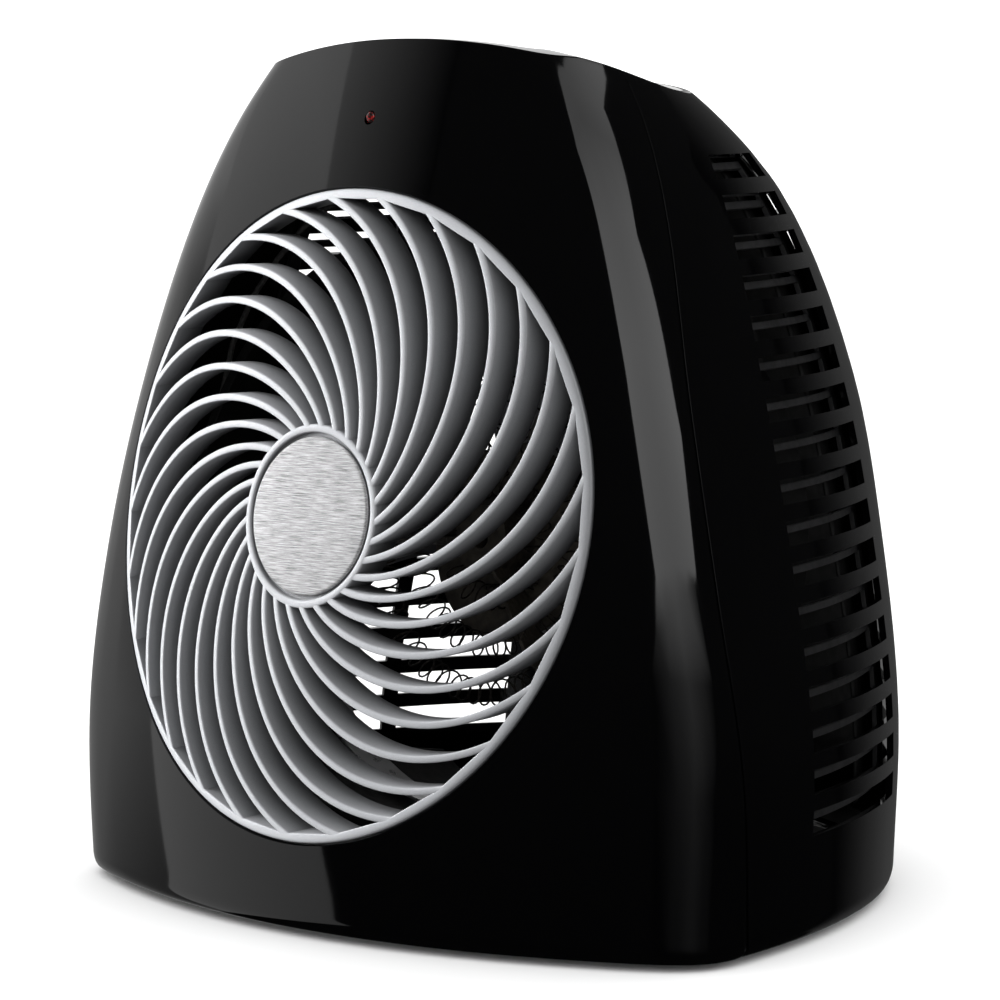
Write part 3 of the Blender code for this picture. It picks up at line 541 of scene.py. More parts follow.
def block_mesh(size, at=(0, 0, 0), turn=0.0):
    shape = bmesh.new()
    bmesh.ops.create_cube(shape, size=1.0)
    place = Matrix.Translation(at) @ Matrix.Rotation(turn, 4, 'Z')
    bmesh.ops.transform(shape, matrix=place @ Matrix.Diagonal((*size, 1)), verts=shape.verts)
    mesh = bpy.data.meshes.new("block")
    shape.to_mesh(mesh)
    shape.free()
    return mesh


def moved(mesh, place):
    mesh.transform(place)
    return mesh


def inset_line(line, distances):
    found = []
    for k, point in enumerate(line):
        before = Vector(line[max(k - 1, 0)][:2])
        after = Vector(line[min(k + 1, len(line) - 1)][:2])
        along = (after - before).normalized()
        found.append((point[0] - along.y * distances[k], point[1] + along.x * distances[k],
                      point[2]))
    return found


def cut(item, cutter_mesh, place):
    """Take a hidden cutter's shape out of an item."""
    cutter = added(f"{item.name}_cutter", cutter_mesh)
    cutter.matrix_world = place
    cutter.hide_render = True
    cutter.hide_viewport = True
    step = item.modifiers.new("hole", 'BOOLEAN')
    step.operation = 'DIFFERENCE'
    step.object = cutter
    step.solver = 'EXACT'


# ---------------------------------------------------------------- housing
def front_at(s, level):
    return front_point(s, FOOT + (roof_top(s) - FOOT) * level)


def make_front_shell():
    """The front face as rings that run from the grille's hole out to the four edges."""
    across, up = 120, 96
    edge = [(2 * k / across - 1, 0.0) for k in range(across)]
    edge += [(1.0, k / up) for k in range(up)]
    edge += [(1 - 2 * k / across, 1.0) for k in range(across)]
    edge += [(-1.0, 1 - k / up) for k in range(up)]
    hole_r = R + GRILLE_GAP
    starts = []
    for s, level in edge:
        z = front_at(s, level)[2]
        turn = math.atan2(z - GRILLE_Z, station(z - FOOT)[0] * s)
        hole_z = GRILLE_Z + hole_r * math.sin(turn)
        half = station(hole_z - FOOT)[0]
        hole_s = math.asin(hole_r * math.cos(turn) / half) * 2 / math.pi
        starts.append((hole_s, (hole_z - FOOT) / (roof_top(hole_s) - FOOT)))
    steps = 60
    rows = []
    for k in range(steps + 1):
        share = k / steps
        rows.append([front_at(a[0] + (b[0] - a[0]) * share, a[1] + (b[1] - a[1]) * share)
                     for a, b in zip(starts, edge)])
    mesh = grid_mesh("front_shell_skin", rows, closed=True)
    mesh.flip_normals()
    shell = walled(piece("front_shell", mesh), WALL)
    lamp = lathe_mesh("lamp_hole", disc(LED_R + GAP, -0.01, 0.01), 40)
    at = Vector((0, front_point(0, LED_Z)[1], LED_Z))
    cut(shell, lamp, Matrix.Translation(at) @ Matrix.Rotation(math.pi / 2, 4, 'X'))
    rounded(shell, 0.00045, 3, 50)


def rear_columns(z):
    """Rear angles at height z, and for each column whether slots cross it."""
    front = slot_angle(z)
    plain, fine = 16, 7
    half = [SEAM_ANGLE + (front - SEAM_ANGLE) * k / plain for k in range(plain)]
    right, left = [False] * plain, [False] * plain
    for step, (low, high) in enumerate(zip(REAR_STEPS, REAR_STEPS[1:])):
        count = 3 if step in RIB_STEPS else fine
        for k in range(count):
            half.append(front + (math.pi / 2 - front) * (low + (high - low) * k / count))
            right.append(step not in BAND_STEPS)
            left.append(step not in RIB_STEPS)
    return half + [math.pi / 2] + [math.pi - a for a in reversed(half)], right + left[::-1]


def make_rear_shell():
    heights = [FOOT + 0.006 * k / 6 for k in range(7)] + [0.014, 0.022, 0.030]
    slots = []
    for k in reversed(range(SLOTS)):
        upper = SLOT_TOP - k * SLOT_PITCH
        slots.append(len(heights))
        heights += [upper - SLOT_HEIGHT, upper, upper + (SLOT_PITCH - SLOT_HEIGHT) / 2]
    heights[-1] = SLOT_TOP + 0.002
    opened = rear_columns(heights[0])[1]
    rows = [[rear_point(a, z) for a in rear_columns(z)[0]] for z in heights]
    last = heights[-1]
    angles = rear_columns(last)[0]
    tops = [roof_height(lambda z, a=a: rear_point(a, z)) for a in angles]
    for k in range(1, 15):
        rows.append([rear_point(a, last + (top - last) * k / 14) for a, top in zip(angles, tops)])
    mesh = grid_mesh("rear_shell_skin", rows, lambda i, j: not (i in slots and opened[j]))
    shell = walled(piece("rear_shell", mesh), WALL - 0.0002)
    hole = lathe_mesh("gland_hole", disc(GLAND_R + 0.0004, -0.02, 0.02), 48)
    cut(shell, hole, Matrix.Translation(gland_spot()) @ gland_turn())
    rounded(shell, 0.0004, 2, 50)


def gland_turn():
    ahead = Vector(rear_point(math.radians(GLAND_ANGLE + 1), GLAND_Z))
    behind = Vector(rear_point(math.radians(GLAND_ANGLE - 1), GLAND_Z))
    along = (ahead - behind).normalized()
    return Vector((-along.y, along.x, 0)).to_track_quat('Z', 'Y').to_matrix().to_4x4()


def make_guard(node, end, mirrored):
    levels, slats = [], []
    for k in reversed(range(SLOTS)):
        middle = SLOT_TOP - SLOT_HEIGHT / 2 - k * SLOT_PITCH
        slats.append(len(levels))
        levels += [middle - SLAT_HEIGHT / 2, middle + SLAT_HEIGHT / 2]
    steps = 14
    shares = [-0.12] + [k / steps for k in range(steps + 1)] + [1.1]
    rows = []
    for z in levels:
        front = slot_angle(z)
        angles = [front + (end - front) * share for share in shares]
        if mirrored:
            angles = [math.pi - angle for angle in reversed(angles)]
        rows.append(inset_line([rear_point(angle, z) for angle in angles],
                               [SLAT_INSET] * len(angles)))
    uprights = (0, len(shares) - 2)
    mesh = grid_mesh(f"{node}_skin", rows, lambda i, j: i in slats or j in uprights)
    rounded(walled(piece(node, mesh), SLAT_T), 0.0003, 2, 50)


def shield_inset(angle):
    share = (angle - SHIELD_BEND[0]) / (SHIELD_BEND[1] - SHIELD_BEND[0])
    return SHIELD_FAR + (SHIELD_NEAR - SHIELD_FAR) * min(max(share, 0), 1)


def make_shield():
    rows = []
    for k in range(25):
        z = SHIELD_LOW + (SHIELD_HIGH - SHIELD_LOW) * k / 24
        angles = [SHIELD_START + (SHIELD_END - SHIELD_START) * j / 36 for j in range(37)]
        rows.append(inset_line([rear_point(angle, z) for angle in angles],
                               [shield_inset(angle) for angle in angles]))
    walled(piece("lead_shield", grid_mesh("lead_shield_skin", rows)), SHIELD_T)


def roof_outline(inset, count=72):
    flat = []
    for k in range(count):
        s = 2 * k / count - 1
        flat.append(front_point(s, roof_top(s))[:2])
    for k in range(count):
        angle = math.pi * k / count
        flat.append(rear_point(angle, roof_height(lambda z: rear_point(angle, z)))[:2])
    found = []
    for before, point, after in zip(flat[-1:] + flat[:-1], flat, flat[1:] + flat[:1]):
        along = (Vector(after) - Vector(before)).normalized()
        found.append((point[0] - along.y * inset, point[1] + along.x * inset))
    return found


def make_panel():
    """The roof plate, whose middle sinks to the knob tray over rounded edges."""
    outer = roof_outline(WALL + GAP)
    centre = Vector((0, KNOB_Y - MID_Y))
    profile = [(1, 0), (0.97, 0), (0.9, 0), (0.85, 0), (0.82, 0), (0.81, 0.01), (0.803, 0.05),
               (0.798, 0.12), (0.794, 0.22), (0.776, 0.78), (0.771, 0.90), (0.764, 0.97),
               (0.755, 1), (0.72, 1), (0.6, 1), (0.4, 1), (0.2, 1), (0.02, 1)]
    rows = []
    for scale, sunk in profile:
        row = []
        for x, y in outer:
            spot = centre + (Vector((x, y)) - centre) * scale
            roof = roof_z(spot.x, spot.y)
            row.append((spot.x, spot.y, roof + (TRAY_Z - roof) * sunk))
        rows.append(row)
    mesh = grid_mesh("control_panel_skin", rows, closed=True)
    shape = bmesh.new()
    shape.from_mesh(mesh)
    middle = [edge for edge in shape.edges if len(edge.link_faces) == 1
              and (edge.verts[0].co.xy - centre).length < 0.01]
    bmesh.ops.contextual_create(shape, geom=middle)
    bmesh.ops.recalc_face_normals(shape, faces=shape.faces)
    shape.to_mesh(mesh)
    shape.free()
    if mesh.polygons[-1].normal.z < 0:
        mesh.flip_normals()
    panel = walled(piece("control_panel", mesh), TRAY_T)
    for side in (-1, 1):
        bore = lathe_mesh("knob_bore", disc(0.0042, -0.01, 0.01), 40)
        cut(panel, bore, Matrix.Translation((side * KNOB_X, KNOB_Y - MID_Y, TRAY_Z)))
    rounded(panel, 0.0004, 2, 55)


# ---------------------------------------------------------------- grille and badge
def spiral(radius):
    s = radius / R - 0.65
    return math.radians(86 * s + 130 * s ** 3)


def fin_half(radius):
    """Half a fin's angular width at a radius, for its true land width."""
    step = R * 0.01
    slope = (spiral(radius + step) - spiral(radius - step)) / (2 * step) * radius
    return FIN_LAND / 2 * math.sqrt(1 + slope * slope) / radius


def grille_front(radius, angle, back=0.0):
    x = radius * math.cos(angle)
    z = GRILLE_Z + radius * math.sin(angle)
    sunk = HUB_DEPTH * max((R - radius) / (R - HUB_R), 0) ** 2
    return x, front_depth(x, z) + sunk - MID_Y + back, z


def loop_solid(name, sections):
    """A closed solid from a row of equal section loops, with capped ends."""
    mesh = grid_mesh(name, sections, closed=True)
    shape = bmesh.new()
    shape.from_mesh(mesh)
    bmesh.ops.holes_fill(shape, edges=shape.edges, sides=0)
    bmesh.ops.recalc_face_normals(shape, faces=shape.faces)
    shape.to_mesh(mesh)
    shape.free()
    return mesh


def fin_mesh(fin):
    """One fin: a bevelled land and drafted walls, swept out along the spiral."""
    start, end = HUB_R - 0.0008, R - RIM_WIDTH + 0.0008
    flat = 1 - 2 * FIN_BEVEL / FIN_LAND
    section = ((-0.80, FIN_DEPTH), (-1, FIN_BEVEL), (-flat - 0.1, FIN_BEVEL * 0.3), (-flat, 0.00003),
               (flat, 0.00003), (flat + 0.1, FIN_BEVEL * 0.3), (1, FIN_BEVEL), (0.80, FIN_DEPTH))
    sections = []
    for k in range(49):
        radius = start + (end - start) * k / 48
        middle = FIN_START + spiral(radius) + math.tau * fin / FINS
        half = fin_half(radius)
        sections.append([grille_front(radius, middle + half * side, back)
                         for side, back in section])
    return loop_solid("fin", sections)


def rim_mesh():
    """The outer ring; its inner edge runs straight from fin to fin."""
    steps = 14
    inner = R - RIM_WIDTH
    turn0 = FIN_START + spiral(inner)
    rows = [[] for _ in range(11)]
    for fin in range(FINS):
        for k in range(steps):
            off = (k / steps - 0.5) * math.tau / FINS
            angle = turn0 + math.tau * fin / FINS + off + math.pi / FINS
            edge = inner * math.cos(math.pi / FINS) / math.cos(off)
            spots = ((R, FIN_DEPTH), (R, 0.0009), (R - 0.00012, 0.0005), (R - 0.0004, 0.0002),
                     (R - 0.0008, 0.0), ((R + edge) / 2, 0.0), (edge + 0.0004, 0.0),
                     (edge + 0.0001, 0.0001), (edge, 0.0004), (edge, FIN_DEPTH),
                     ((R + edge) / 2, FIN_DEPTH))
            for row, (radius, back) in zip(rows, spots):
                row.append(grille_front(radius, angle, back))
    return grid_mesh("rim", rows + rows[:1], closed=True)


def hub_mesh():
    """The hub's ring and the sunk floor that the badge lies on."""
    steps = 120
    floor_depth = BADGE_DEPTH + BADGE_T + GAP
    rows = [[] for _ in range(13)]
    for k in range(steps):
        angle = math.tau * k / steps
        front = [(HUB_R, FIN_DEPTH), (HUB_R, 0.0006), (HUB_R - 0.00015, 0.0002),
                 (HUB_R - 0.0005, 0.0), (HUB_BORE + 0.0006, 0.0), (HUB_BORE + 0.0002, 0.0002),
                 (HUB_BORE, 0.0006)]
        points = [grille_front(radius, angle, back) for radius, back in front]
        for radius, depth in ((HUB_BORE, floor_depth), (HUB_BORE / 2, floor_depth), (0, floor_depth),
                              (0, floor_depth + HUB_FLOOR), (HUB_BORE, floor_depth + HUB_FLOOR)):
            x = radius * math.cos(angle)
            height = radius * math.sin(angle)
            points.append((x, depth + LEAN * height - MID_Y, GRILLE_Z + height))
        points.append(grille_front(HUB_BORE, angle, FIN_DEPTH))
        for row, point in zip(rows, points):
            row.append(point)
    return grid_mesh("hub", rows + rows[:1], closed=True)


def make_grille():
    meshes = [fin_mesh(fin) for fin in range(FINS)] + [rim_mesh(), hub_mesh()]
    grille = joined("front_grille", meshes)
    # each point's depth into the grille, which the silver finish turns into painted shade between the fins
    depth = grille.data.attributes.new("depth", 'FLOAT', 'POINT')
    for vert in grille.data.vertices:
        x, y, z = vert.co
        face = grille_front(math.hypot(x, z - GRILLE_Z), math.atan2(z - GRILLE_Z, x))[1]
        depth.data[vert.index].value = (y - face) / FIN_DEPTH
    rounded(grille, 0.00012, 2, 60)


def make_badge():
    flat = math.cos(TILT)
    radius = HUB_BORE * flat - 0.0006
    at = (0, BADGE_DEPTH * math.sin(TILT), -BADGE_DEPTH * flat)
    profile = [(0, 0), (radius * 0.5, 0), (radius - 0.0012, 0), (radius - 0.0003, -0.0001),
               (radius, -0.0005), (radius, -BADGE_T), (0, -BADGE_T)]
    turned("hub_badge", profile, at, AIR, 0, 128)


def make_lamp():
    y = front_point(0, LED_Z)[1]
    turn = Matrix.Rotation(math.pi / 2, 4, 'X')
    dome = [(LED_R * math.sin(a), -0.0012 + 0.0012 * math.cos(a))
            for a in [math.pi / 2 * k / 8 for k in range(9)]]
    lens = turned("power_lens", dome + [(LED_R, -0.006), (0, -0.006)], bevel=0, steps=40)
    lens.matrix_world = Matrix.Translation((0, y - 0.0006, LED_Z)) @ turn


# ---------------------------------------------------------------- air path
def helix(node, radius, turns, seed):
    """A close-wound wire coil bent into a ring about the air axis."""
    rng = random.Random(seed)
    wire_r, count = 0.00038, 16
    loop = COIL_R - wire_r - 0.0001
    curve = bpy.data.curves.new(f"{node}_skin", 'CURVE')
    curve.dimensions = '3D'
    curve.bevel_depth = wire_r
    curve.bevel_resolution = 1
    line = curve.splines.new('POLY')
    line.use_cyclic_u = True
    line.points.add(turns * count - 1)
    sway = [rng.uniform(-0.35, 0.35) for _ in range(turns)]
    for k, point in enumerate(line.points):
        lap = k / count
        first = sway[int(lap) % turns]
        second = sway[(int(lap) + 1) % turns]
        around = math.tau * (lap + first + (second - first) * (lap - int(lap))) / turns
        wind = math.tau * lap
        reach = radius + loop * math.cos(wind)
        point.co = (reach * math.cos(around), reach * math.sin(around),
                    loop * math.sin(wind), 1.0)
    piece(node, curve, AIR @ Matrix.Translation((0, 0, ELEMENT_Z)))


def make_element():
    turned("element_ring", tube(RING_R, RING_R + 0.001, ELEMENT_Z - RING_H / 2,
                                ELEMENT_Z + RING_H / 2), base=AIR, ring=True, bevel=0.0002)
    for node, radius, turns in zip(("heating_coil_1", "heating_coil_2", "heating_coil_3"),
                                   COIL_RADII, (24, 46, 66)):
        helix(node, radius, turns, turns)
    for node, turn in (("element_terminal_left", 205), ("element_terminal_right", 335)):
        angle = math.radians(turn)
        profile = [(0, 0.012), (0.0014, 0.012), (0.0014, 0.004), (0.0036, 0.004),
                   (0.0036, 0.0005), (0.0028, 0.0), (0.0028, -0.002), (0.0036, -0.0025),
                   (0.0036, -0.006), (0.0014, -0.006), (0.0014, -0.014), (0, -0.014)]
        at = (0.0885 * math.cos(angle), 0.0885 * math.sin(angle), ELEMENT_Z + 0.018)
        turned(node, profile, at, AIR, 0.0003, 40)


def spider_mesh(k):
    """One mica board, with a V notch for each coil along both edges."""
    turn = BOARD_TURN + math.tau * k / BOARDS
    outline = [(0.009, -BOARD_H / 2)]
    notches = [(radius - COIL_R * 0.9, radius + COIL_R * 0.9) for radius in COIL_RADII]
    high = BOARD_H / 2
    for low, top in notches:
        middle = (low + top) / 2
        outline += [(low, -high), (middle - 0.0012, -high + 0.0030), (middle + 0.0012, -high + 0.0030),
                    (top, -high)]
    outline += [(BOARD_R, -high), (BOARD_R, high)]
    for low, top in reversed(notches):
        middle = (low + top) / 2
        outline += [(top, high), (middle + 0.0012, high - 0.0030), (middle - 0.0012, high - 0.0030),
                    (low, high)]
    outline += [(0.009, high)]
    sections = [[(x, side * BOARD_T / 2, z) for x, z in outline] for side in (-1, 1)]
    return moved(loop_solid("board", sections), Matrix.Rotation(turn, 4, 'Z'))


def make_spider():
    hub = lathe_mesh("spider_hub", [(0.0035, BOARD_H / 2), (0.012, BOARD_H / 2),
                                    (0.012, -BOARD_H / 2), (0.0035, -BOARD_H / 2)], 64, ring=True)
    screen = lathe_mesh("screen", tube(0.0035, SCREEN_R, -BOARD_H / 2 - SCREEN_T, -BOARD_H / 2), 96,
                        ring=True)
    place = AIR @ Matrix.Translation((0, 0, ELEMENT_Z))
    boards = [spider_mesh(k) for k in range(BOARDS)]
    rounded(joined("mica_spider", [hub, screen] + boards, place), 0.0002)


def make_duct():
    degrees, width, front = NOTCH
    notch = math.radians(degrees)
    duct = turned("air_duct", [
        (DUCT_R, DUCT_FRONT), (DUCT_R + 0.004, DUCT_FRONT), (DUCT_R + 0.004, DUCT_FRONT - 0.002),
        (DUCT_R + DUCT_WALL, DUCT_FRONT - 0.002), (DUCT_R + DUCT_WALL, DUCT_BACK),
        (DUCT_R, DUCT_BACK)], base=AIR, ring=True, bevel=0, steps=128)
    gap = block_mesh((0.040, width, 0.050), turn=notch,
                     at=(DUCT_R * math.cos(notch), DUCT_R * math.sin(notch), front - 0.025))
    cut(duct, gap, AIR)
    rounded(duct, 0.0005)
    top = math.radians(95)
    spot = (0.084 * math.cos(top), 0.084 * math.sin(top), ELEMENT_Z + 0.022)
    turned("thermal_cutout", [(0, 0.003), (0.0035, 0.003), (0.0038, 0.0024), (0.0075, 0.0024),
                              (0.0075, -0.004), (0.0055, -0.006), (0, -0.006)], spot, AIR, 0.0003, 48)
    fuse = [(0, 0.006), (0.0008, 0.006), (0.0009, 0.0045), (0.002, 0.0042), (0.002, -0.0042),
            (0.0009, -0.0045), (0.0008, -0.006), (0, -0.006)]
    item = turned("thermal_fuse", fuse, bevel=0.0002, steps=32)
    item.matrix_world = (AIR @ Matrix.Translation((-0.040, 0.075, ELEMENT_Z + 0.020))
                         @ Matrix.Rotation(math.pi / 2, 4, 'Y'))


def make_motor():
    wall, eye = 0.002, 0.0075
    front, back = MOTOR_FRONT - 0.006, MOTOR_BACK + 0.006
    turned("motor_can", [
        (eye, front), (MOTOR_R, front), (MOTOR_R, back), (eye, back), (eye, back + wall),
        (MOTOR_R - wall, back + wall), (MOTOR_R - wall, front - wall), (eye, front - wall)],
        base=AIR, ring=True, bevel=0.0009)
    turned("motor_windings", tube(0.015, MOTOR_R - 0.0025, back + 0.003, front - 0.003),
           base=AIR, ring=True, bevel=0.001)
    turned("motor_rotor", tube(SHAFT_BORE, 0.0142, back + 0.004, front - 0.004), base=AIR, ring=True)
    for node, z in (("bearing_front", front - 0.0006), ("bearing_rear", back + 0.0014)):
        turned(node, tube(SHAFT_BORE, eye - GAP, z - 0.002, z + 0.002), base=AIR, ring=True)
    ring = lathe_mesh("bracket_ring", tube(0.0085, MOTOR_R + 0.004, MOTOR_FRONT - 0.0055,
                                           MOTOR_FRONT - 0.0025), 96, ring=True)
    depth, length = MOTOR_FRONT - 0.004, BRACKET_R - MOTOR_R
    rise = BRACKET_TAB - depth
    arms = []
    for degrees, width in BRACKET_ARMS:
        turn = math.radians(degrees)
        way = Vector((math.cos(turn), math.sin(turn), 0))
        spot = way * (MOTOR_R + length / 2) + Vector((0, 0, depth))
        arms.append(block_mesh((length, width, 0.0023), spot, turn))
        spot = way * (BRACKET_R - 0.0011) + Vector((0, 0, depth + rise / 2 - 0.0005))
        arms.append(block_mesh((0.0021, width - 0.0006, rise + 0.0010), spot, turn))
    rounded(joined("motor_bracket", [ring] + arms, AIR), 0.0004)


def blade_mesh(turn0):
    """One swept blade with rounded edges."""
    sections = []
    for i in range(25):
        share = i / 24
        radius = FAN_HUB_R - 0.002 + (FAN_R - FAN_HUB_R + 0.002) * share
        span = 0.026 + 0.030 * share
        trim = 1 - 0.30 * max(share - 0.85, 0) / 0.15
        pitch = math.radians(38 - 16 * share)
        upper, lower = [], []
        for j in range(19):
            t = j / 18
            along = (t - 0.5) * span * trim
            camber = 0.10 * span * (1 - (2 * t - 1) ** 2)
            across = along * math.cos(pitch)
            height = along * math.sin(pitch) + camber
            thick = BLADE_T * (0.25 + 0.75 * math.sqrt(max(1 - (2 * t - 1) ** 2, 0)))
            turn = across / radius + 0.25 * share + turn0
            x, y = radius * math.cos(turn), radius * math.sin(turn)
            upper.append((x, y, height))
            lower.append((x, y, height - thick))
        sections.append(upper + lower[::-1])
    return loop_solid("blade", sections)


def make_fan():
    place = AIR @ Matrix.Translation((0, 0, FAN_Z))
    hub = lathe_mesh("fan_hub", [
        (SHAFT_BORE, 0.010), (0.010, 0.010), (0.014, 0.0095), (0.018, 0.0078), (0.0202, 0.0055),
        (FAN_HUB_R, 0.003), (FAN_HUB_R, -0.014), (FAN_HUB_R - 0.002, -0.014),
        (FAN_HUB_R - 0.002, -0.002), (0.006, -0.002), (0.006, -0.014), (SHAFT_BORE, -0.014)],
        96, ring=True)
    blades = [blade_mesh(BLADE_TURN + math.tau * k / BLADES) for k in range(BLADES)]
    rounded(joined("fan", [hub] + blades, place), 0.0003, 2, 50)
    turned("motor_shaft", disc(SHAFT_R, MOTOR_BACK - 0.004 - FAN_Z, 0.0145), (0, 0, FAN_Z), AIR,
           0.0006, 48)
    turned("fan_clip", tube(SHAFT_BORE, 0.0085, 0.0104, 0.0130), (0, 0, FAN_Z), AIR, 0.0004, 64,
           ring=True)


# ---------------------------------------------------------------- controls, base, electrics
def make_control(name, side):
    at = (side * KNOB_X, KNOB_Y - MID_Y, TRAY_Z)
    under, top = 0.0006, 0.0006 + KNOB_H
    profile = [(0, top - 0.0014), (KNOB_R - 0.0055, top - 0.0011), (KNOB_R - 0.0038, top - 0.0006),
               (KNOB_R - 0.0024, top), (KNOB_R - 0.0014, top - 0.0001), (KNOB_R - 0.0006, top - 0.0008),
               (KNOB_R - 0.0002, top - 0.0022), (KNOB_R + 0.0002, under + 0.0024),
               (KNOB_R + 0.0006, under + 0.0016), (KNOB_R + 0.0006, under), (KNOB_R - 0.002, under),
               (0.0033, under), (0.0033, top - 0.0034), (0, top - 0.0034)]

    def grip(turn, radius, height):
        on_side = KNOB_R - 0.001 < radius and under + 0.002 < height < top - 0.001
        return radius - (0.00045 * max(math.cos(36 * turn), -0.2) if on_side else 0)

    knob = lathe_mesh(f"{name}_knob_body", profile, 288, wave=grip)
    pointer = block_mesh((0.0020, KNOB_R * 0.72, 0.0024), (0, KNOB_R * 0.48, top - 0.0010))
    rounded(joined(f"{name}_knob", [knob, pointer], Matrix.Translation(at)), 0.0002, 2, 40)
    turned(f"{name}_shaft", disc(0.003, -0.0155, under + KNOB_H - 0.0034), at, steps=48)
    low = -TRAY_T - 0.0006
    body = block_mesh((0.030, 0.030, 0.017), (0, 0, low - 0.0115))
    deck = block_mesh((0.024, 0.024, 0.0034), (0, 0, low - 0.0017))
    rounded(joined(f"{name}_body", [body, deck], Matrix.Translation(at)), 0.0009, 3)


def make_base():
    for name, x, y in FOOT_SPOTS:
        profile = [(0, PLATE_LOW - GAP), (0.0095, PLATE_LOW - GAP), (0.0093, 0.0016), (0.0088, 0.0004),
                   (0.0083, 0.0), (0.0050, 0.0), (0.0046, 0.0005), (0, 0.0005)]
        turned(f"foot_{name}", profile, (x, y, 0), bevel=0.0002, steps=64)
    for name, x, y in SCREW_SPOTS:
        profile = [(0, PLATE_LOW + 0.012), (0.0016, PLATE_LOW + 0.012), (0.0016, PLATE_LOW - GAP),
                   (0.0034, PLATE_LOW - GAP), (0.0030, PLATE_LOW - 0.0018),
                   (0.0012, PLATE_LOW - 0.0018), (0.0006, PLATE_LOW - 0.0008), (0, PLATE_LOW - 0.0008)]
        turned(f"base_screw_{name}", profile, (x, y, 0), bevel=0.0002, steps=40)
    gland = [(0.0036, -0.0002), (0.0050, -0.0002), (GLAND_R, -0.0008), (GLAND_R, -0.005),
             (0.0080, -0.005), (0.0080, -0.008), (0.0036, -0.008)]
    item = turned("cord_gland", gland, bevel=0.0003, steps=64, ring=True)
    item.matrix_world = Matrix.Translation(gland_spot()) @ gland_turn()


def make_terminals():
    at = Matrix.Translation((-0.045, 0.066, PLATE_LOW + 0.003 + GAP + 0.006))
    parts = [block_mesh((0.036, 0.016, 0.007), (0, 0, -0.0025))]
    for k in range(3):
        parts.append(block_mesh((0.009, 0.011, 0.005), ((k - 1) * 0.0118, 0, 0.0030)))
        parts.append(moved(lathe_mesh("screw", disc(0.0024, 0, 0.0060), 24),
                           Matrix.Translation(((k - 1) * 0.0118, 0, 0.0))))
    rounded(joined("terminal_block", parts, at), 0.0006)


# ---------------------------------------------------------------- studio
def softbox_material():
    made = bpy.data.materials.new("softbox")
    made.use_nodes = True
    tree = made.node_tree
    tree.nodes.clear()
    level = tree.nodes.new("ShaderNodeAttribute")
    level.attribute_name = "level"
    light = tree.nodes.new("ShaderNodeEmission")
    out = tree.nodes.new("ShaderNodeOutputMaterial")
    tree.links.new(level.outputs["Fac"], light.inputs["Strength"])
    tree.links.new(light.outputs["Emission"], out.inputs["Surface"])
    return made


SOFTBOX = softbox_material()


def softbox(name, rows):
    """A light sheet that only glossy surfaces see: rows of (x, y, z, strength)."""
    wide = len(rows[0])
    spots = [spot for row in rows for spot in row]
    faces = [(i * wide + j, i * wide + j + 1, (i + 1) * wide + j + 1, (i + 1) * wide + j)
             for i in range(len(rows) - 1) for j in range(wide - 1)]
    mesh = bpy.data.meshes.new(name)
    mesh.from_pydata([spot[:3] for spot in spots], [], faces)
    level = mesh.attributes.new("level", 'FLOAT', 'POINT')
    for k, spot in enumerate(spots):
        level.data[k].value = spot[3]
    mesh.materials.append(SOFTBOX)
    item = added(name, mesh)
    item.visible_camera = False
    item.visible_diffuse = False
    item.visible_shadow = False
    item.visible_transmission = False
    return item


def far_way(azimuth, height):
    """A direction from the heater; azimuth 0 is ahead of the grille, 90 is its right."""
    turn, rise = math.radians(azimuth), math.radians(height)
    return Vector((math.sin(turn) * math.cos(rise), -math.cos(turn) * math.cos(rise),
                   math.sin(rise)))


def far_row(first, last, levels, reach=4.0):
    """Spots of a far sheet between two directions, with a strength at each."""
    start, end = far_way(*first), far_way(*last)
    row = []
    for k, level in enumerate(levels):
        way = start.lerp(end, k / (len(levels) - 1)).normalized() * reach
        row.append((way.x, way.y - 0.1, way.z + 0.15, level))
    return row


def between(height, stops):
    """The value at a height on the straight lines through rising (height, value) stops."""
    for (low, first), (high, second) in zip(stops, stops[1:]):
        if height <= high:
            return first + (second - first) * (height - low) / (high - low)
    return stops[-1][1]


def make_left_softbox():
    """The tall box at the left: a bright panel with a dimmer room beyond its near edge."""
    rows = []
    for z in sorted({z for edge in (LEFT_NEAR, LEFT_FAR, LEFT_ROOM, LEFT_PANEL) for z, _ in edge}):
        near, far = between(z, LEFT_NEAR), between(z, LEFT_FAR)
        room, panel = between(z, LEFT_ROOM), between(z, LEFT_PANEL)
        edge = room * between(z, LEFT_EDGE_DIP)
        deep = 1.0 if z > LEFT_DIM_Z else 0.3
        columns = ((1.6, deep), (0.35, deep), (0.06, (room + deep) / 2), (-0.10, room),
                   (near + 0.003, edge), (near, panel), ((near + far) / 2, panel * 0.96),
                   (far, panel * 0.93))
        rows.append([(LEFT_X, y, z, level) for y, level in columns])
    softbox("left_softbox", rows)
    shares = (1.0, 0.72, 0.48, 0.27, 0.11, 0.0)
    fade = []
    for z, level in LEFT_FADE:
        row = []
        for k, share in enumerate(shares):
            way = k / (len(shares) - 1)
            row.append((LEFT_X, between(z, LEFT_FAR) + FADE_Y * way, z + FADE_Z * way, level * share))
        fade.append(row)
    softbox("left_fade", fade)


def make_right_softbox():
    """The tall box at the right, crisp at its sides and fading out below."""
    softbox("right_softbox", [far_row(first, last, [level * k for k in RIGHT_SIDES[soft]])
                              for first, last, level, soft in RIGHT_ROWS])


